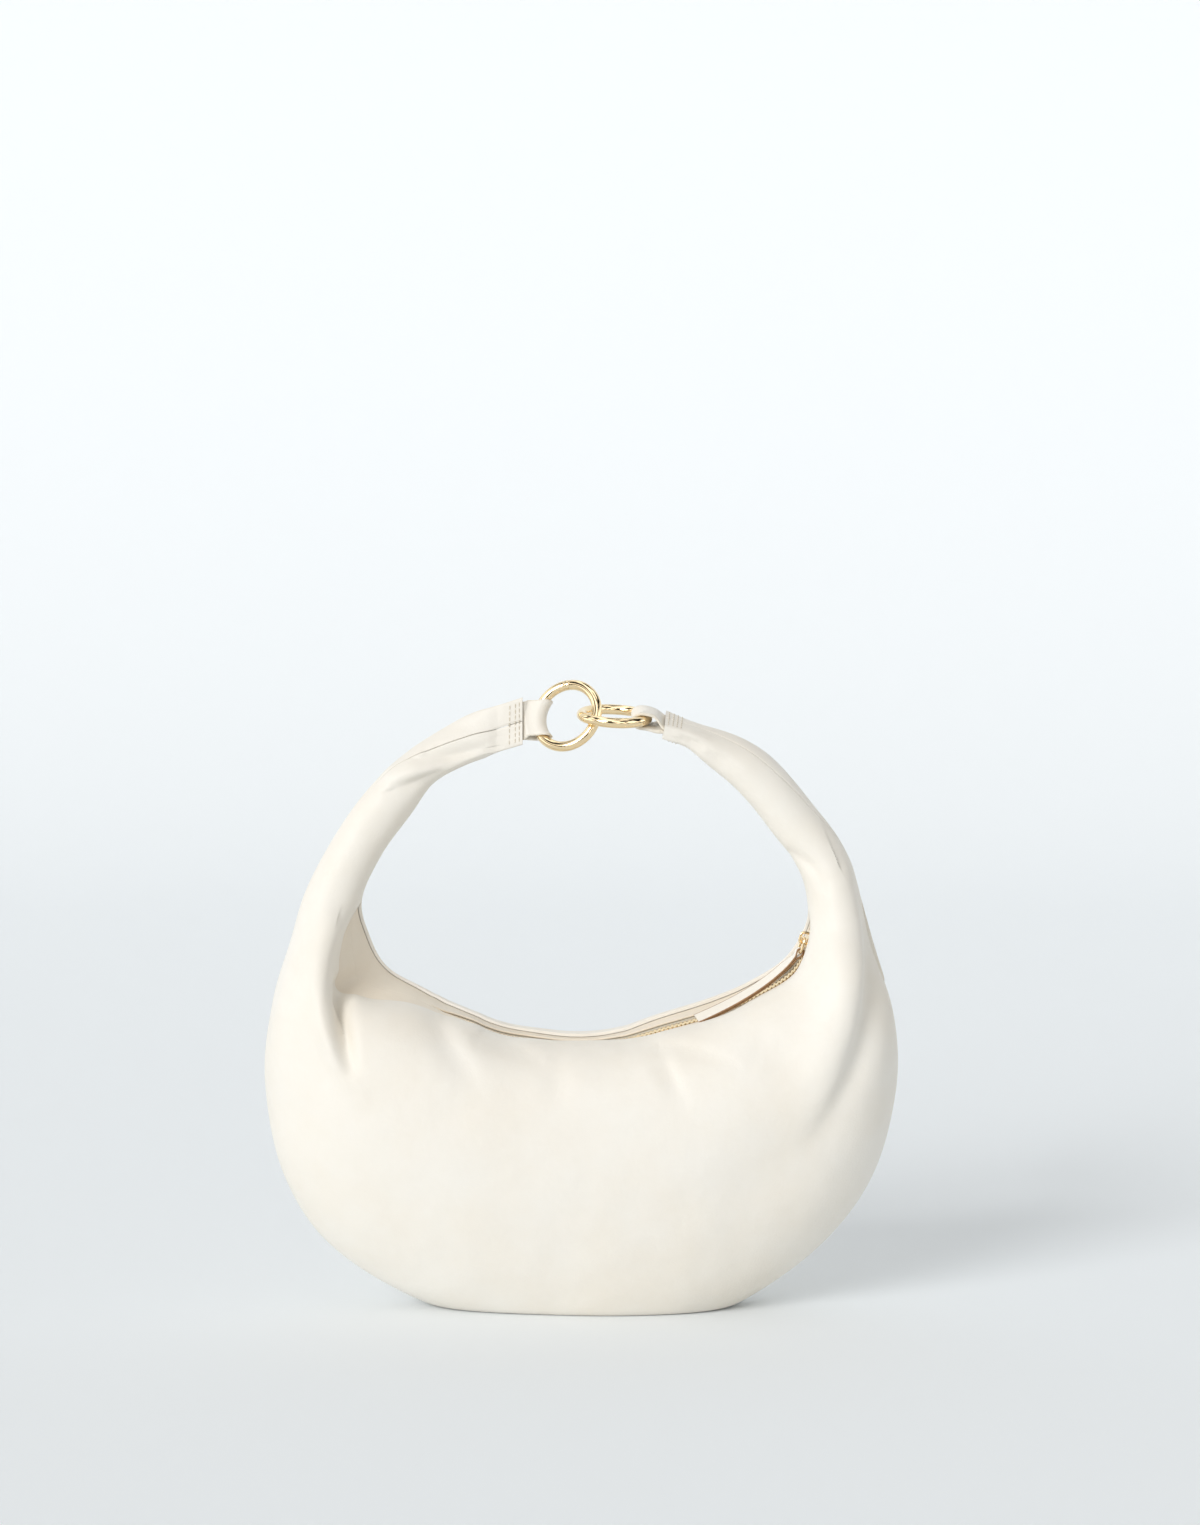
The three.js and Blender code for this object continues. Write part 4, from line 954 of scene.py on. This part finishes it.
def strap_section(width, thick, across_steps=9):
    """A strip's section: across from one edge to the other on the upper face and back on the lower one,
    with half-round edges. Also says for each step to the next point whether it lies on an edge."""
    bend = np.linspace(np.pi, np.pi / 2, EDGE_STEPS + 1)[:-1]
    radius = thick * EDGE_ROUND
    half = width / 2 - radius
    flat = np.linspace(-half, half, across_steps)
    across = np.concatenate([-half + radius * np.cos(bend), flat, half - radius * np.cos(bend[::-1])])
    off = np.concatenate([np.sin(bend), np.ones(across_steps), np.sin(bend[::-1])]) * thick / 2
    off[[0, -1]] = thick * 0.05
    on_edge = np.abs(across) > width / 2 - radius * 1.01
    on_edge = np.concatenate([on_edge, on_edge[::-1]])
    across = np.concatenate([across, across[::-1]])
    off = np.concatenate([off, -off[::-1]])
    return across, off, on_edge & np.roll(on_edge, -1)


def strap(name, u, h, across, off, on_edge, place, face_finish, edge_finish):
    """A folded strap: its section is carried along the line u, h, and place puts it in space. The faces
    on its edges and its ends take the edge's finish."""
    du, dh = np.gradient(u)[:, None], np.gradient(h)[:, None]
    size = np.hypot(du, dh)
    off_u = u[:, None] - off * dh / size
    off_h = h[:, None] + off * du / size
    loops = place(off_u, off_h, across[None, :] + 0 * u[:, None])
    piece = solid_of(name, loops)
    piece.data.materials.append(face_finish)
    piece.data.materials.append(edge_finish)
    ends = 2 * (len(across) // 2 - 1)
    painted = np.concatenate([np.ones(ends, int), np.tile(on_edge.astype(int), len(u) - 1)])
    piece.data.polygons.foreach_set("material_index", painted.astype(np.int32))
    return piece


def painted_edge(name, colour, dark):
    """Edge paint on leather: a thick even coat, a little glossy, slightly darker where it is thin."""
    made, tree, shader = new_material(name)
    place = node(tree, "TexCoord").outputs["Object"]
    cloud = node(tree, "TexNoise", Vector=place, Scale=500, Detail=3).outputs["Fac"]
    tree.links.new(ramp(tree, cloud, (0.35, colour), (0.7, dark)), shader.inputs["Base Color"])
    tree.links.new(bumped(tree, cloud, 0.2, 0.0001), shader.inputs["Normal"])
    shader.inputs["Roughness"].default_value = 0.42
    return made


tan_edge = painted_edge("tan_edge_paint", colour=(0.36, 0.20, 0.09), dark=(0.27, 0.14, 0.06))
cream_edge = painted_edge("cream_edge_paint", colour=(0.84, 0.79, 0.69), dark=(0.76, 0.70, 0.59))

pull_eye = at_slider(np.array([-LINK_BACK * 2, 0, LINK_RISE]))
pull_end_mouth, pull_half_mouth = (
    {key: value[0] for key, value in mouth_at(np.array([SLIDER_AT - gone])).items()}
    for gone in (LINK_BACK * 2 + PULL_LENGTH, LINK_BACK + PULL_LENGTH / 2)
)
pull_end = at_mouth(pull_end_mouth, -PULL_DRIFT, PULL_REST)
pull_half = at_mouth(pull_half_mouth, -PULL_DRIFT / 2, PULL_REST)
pull_along = unit(pull_end - pull_eye)
pull_sag = (pull_half - (pull_eye + pull_end) / 2) * PULL_SAG


def pull_place(u, h, across):
    """u counts from the free end to the eye. The strip leaves the eye in a straight line to its end,
    with a sag in the middle, turns from the slider's up to the mouth's up there, widens, and soon rolls
    on its front edge."""
    x = PULL_LENGTH - u
    share = np.clip(x / PULL_LENGTH, 0, 1)[..., None]
    up = mix(slider_mouth["up"], pull_end_mouth["up"], share)
    up = unit(up - pull_along * np.sum(up * pull_along, -1, keepdims=True))
    aside = np.cross(pull_along, up)
    laid = smooth(share / PULL_LAID_BY)
    roll = PULL_ROLL * laid
    up, aside = up * np.cos(roll) - aside * np.sin(roll), aside * np.cos(roll) + up * np.sin(roll)
    wide = mix(PULL_EYE_SHARE, 1 + PULL_FLARE * share, smooth(share / PULL_WIDE_BY))
    return (
        pull_eye
        + pull_along * x[..., None]
        + up * h[..., None]
        + aside * across[..., None] * wide
        + pull_sag * 4 * share * (1 - share)
        + pull_end_mouth["up"] * PULL_LIFT * laid
    )


layer = PULL_THICK / 2
pull_u, pull_h = folded_line(0, PULL_LENGTH, layer / 2, PULL_EYE + layer / 2, steps=60, ease=0.08)
pull = strap(
    "pull_leather", pull_u, pull_h, *strap_section(PULL_WIDTH, layer * 0.98, across_steps=5),
    pull_place, cream_leather, tan_edge,
)
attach(pull, "root")
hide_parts("zip_pull")

# Straps round the rings
# A strap of two layers' thickness at each arm's end: it goes out from between the arm's two faces,
# round the ring's wire and back, and is sewn in with three or four rows of stitches.
LOOP_TUCK = 0.008
LOOP_STEPS = 26
LOOP_FROM_ARM = 0.3
LOOP_FROM_RING = 0.5
LOOP_TURNED_BY = 0.6
ARM_END_SHARE = 0.08
ARM_END_STEPS = 300


def arm_s(end, distance):
    """s at a distance in from an arm's end, measured along the middle."""
    s = np.abs(end - np.linspace(0, ARM_END_SHARE, ARM_END_STEPS))
    middle = section(s)["middle"]
    gone = np.concatenate([[0], np.linalg.norm(np.diff(middle, axis=0), axis=-1).cumsum()])
    return np.interp(distance, gone, s)


def bow_of(radius, along):
    """How far a circle has bent away from its tangent at a distance along the tangent."""
    return radius - np.sqrt(radius**2 - along**2)


def loop(name, end, hold):
    """A strap from inside an arm's end round a ring. Its middle line is a cubic curve from the arm's
    middle to the wire, its width turns from the arm's to the wire's on the way, and it bows with the
    wire's own bend across its width."""
    touch, inward, wire_along = hold
    tip = section(float(end))
    arm = unit(tip["middle"] - section(arm_s(end, LOOP_TUCK))["middle"])
    width_at_wire = wire_along * np.sign(wire_along @ tip["aside"])
    thick_at_wire = np.cross(width_at_wire, inward)
    thick_at_wire = thick_at_wire * np.sign(thick_at_wire @ tip["along"])
    reach = np.linalg.norm(touch - tip["middle"])
    bend = RING_WIRE / 2 + GAP + LOOP_THICK / 2
    p0, p1 = tip["middle"], tip["middle"] + arm * reach * LOOP_FROM_ARM
    p2, p3 = touch - inward * reach * LOOP_FROM_RING, touch

    def place(u, h, across):
        share = np.clip(u / reach, 0, 1)[..., None]
        inside = section(arm_s(end, np.maximum(-u, 0)))
        neck = (1 - share) ** 3 * p0 + 3 * share * (1 - share) ** 2 * p1
        neck = neck + 3 * share**2 * (1 - share) * p2 + share**3 * p3
        origin = np.where(u[..., None] < 0, inside["middle"], neck)
        turned = smooth(share / LOOP_TURNED_BY)
        width = unit(mix(inside["aside"], width_at_wire, turned))
        thick = mix(inside["along"], thick_at_wire, turned)
        thick = unit(thick - width * np.sum(thick * width, -1, keepdims=True))
        past = np.maximum(u - reach, 0)
        over_wire = bow_of(RING_RADIUS, across) * smooth(share[..., 0])
        under_wire = bow_of(RING_RADIUS - RING_WIRE / 2 - GAP, across) * smooth(share[..., 0])
        bow = mix(over_wire, under_wire, np.clip(past / bend, 0, 1))
        return origin + width * across[..., None] + thick * h[..., None] + inward * (past + bow)[..., None]

    u, h = folded_line(-LOOP_TUCK, reach, LOOP_THICK / 2 + GAP / 2, bend, LOOP_STEPS)
    flat = strap_section(LOOP_WIDTH, LOOP_THICK, across_steps=15)
    return strap(name, u, h, *flat, place, cream_leather, cream_edge)


for end, hold, end_name in ((0, left_hold, "left"), (1, right_hold, "right")):
    loop_piece = loop("strap_" + end_name, end, hold)
    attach(loop_piece, "root")
    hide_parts("loop_" + end_name)

# Stitches
# Rows of waxed cream thread, a stitch about every 3 mm, each sunk a little at both ends. They go
# across both arms' ends, through the arm's faces and the strap between them.
STITCH_PITCH = 0.0031
STITCH_LENGTH = 0.0024
STITCHES_ASIDE = 3
THREAD_PROUD = 0.1
THREAD = 0.00055
STITCH_ROWS = {0: (0.0018, 0.0040, 0.0072), 1: (0.0018, 0.0042, 0.0064, 0.0086)}


def thread_finish(name, colour, dark):
    """Twisted thread: fine slanting bands between two tones."""
    made, tree, shader = new_material(name)
    place = node(tree, "TexCoord").outputs["Object"]
    bands = node(tree, "TexWave", {"bands_direction": "DIAGONAL"}, Vector=place, Scale=700).outputs["Fac"]
    tree.links.new(ramp(tree, bands, (0.2, dark), (0.8, colour)), shader.inputs["Base Color"])
    tree.links.new(bumped(tree, bands, 0.3, 0.0001), shader.inputs["Normal"])
    shader.inputs["Roughness"].default_value = 0.6
    return made


thread = thread_finish("cream_thread", colour=(0.80, 0.74, 0.62), dark=(0.52, 0.45, 0.34))
stitch_places, stitch_axes = [], []
for end, rows in STITCH_ROWS.items():
    for distance in rows:
        c = section(arm_s(end, distance))
        across = np.arange(-STITCHES_ASIDE, STITCHES_ASIDE + 1) * STITCH_PITCH
        share = np.abs(across) / c["deep"]
        squarely = (1 - share ** (2 / c["square"])) ** (c["square"] / 2)
        for face in (-1, 1):
            lift = face * (c["half"] * squarely + THREAD * THREAD_PROUD)
            stitch_places.append(c["middle"] + c["aside"] * across[:, None] + c["along"] * lift[:, None])
            ahead = unit(np.cross(c["aside"], c["along"]))
            axes = np.stack([c["aside"] * STITCH_LENGTH / 2, ahead * THREAD / 2, c["along"] * THREAD / 2])
            stitch_axes.append(np.broadcast_to(axes, (len(across), 3, 3)))
stitch = pebble(rows=6, columns=8, power=0.8)
stitches = copies("stitches", stitch, np.concatenate(stitch_places), np.concatenate(stitch_axes))
stitches.data.materials.append(thread)
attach(stitches, "root")
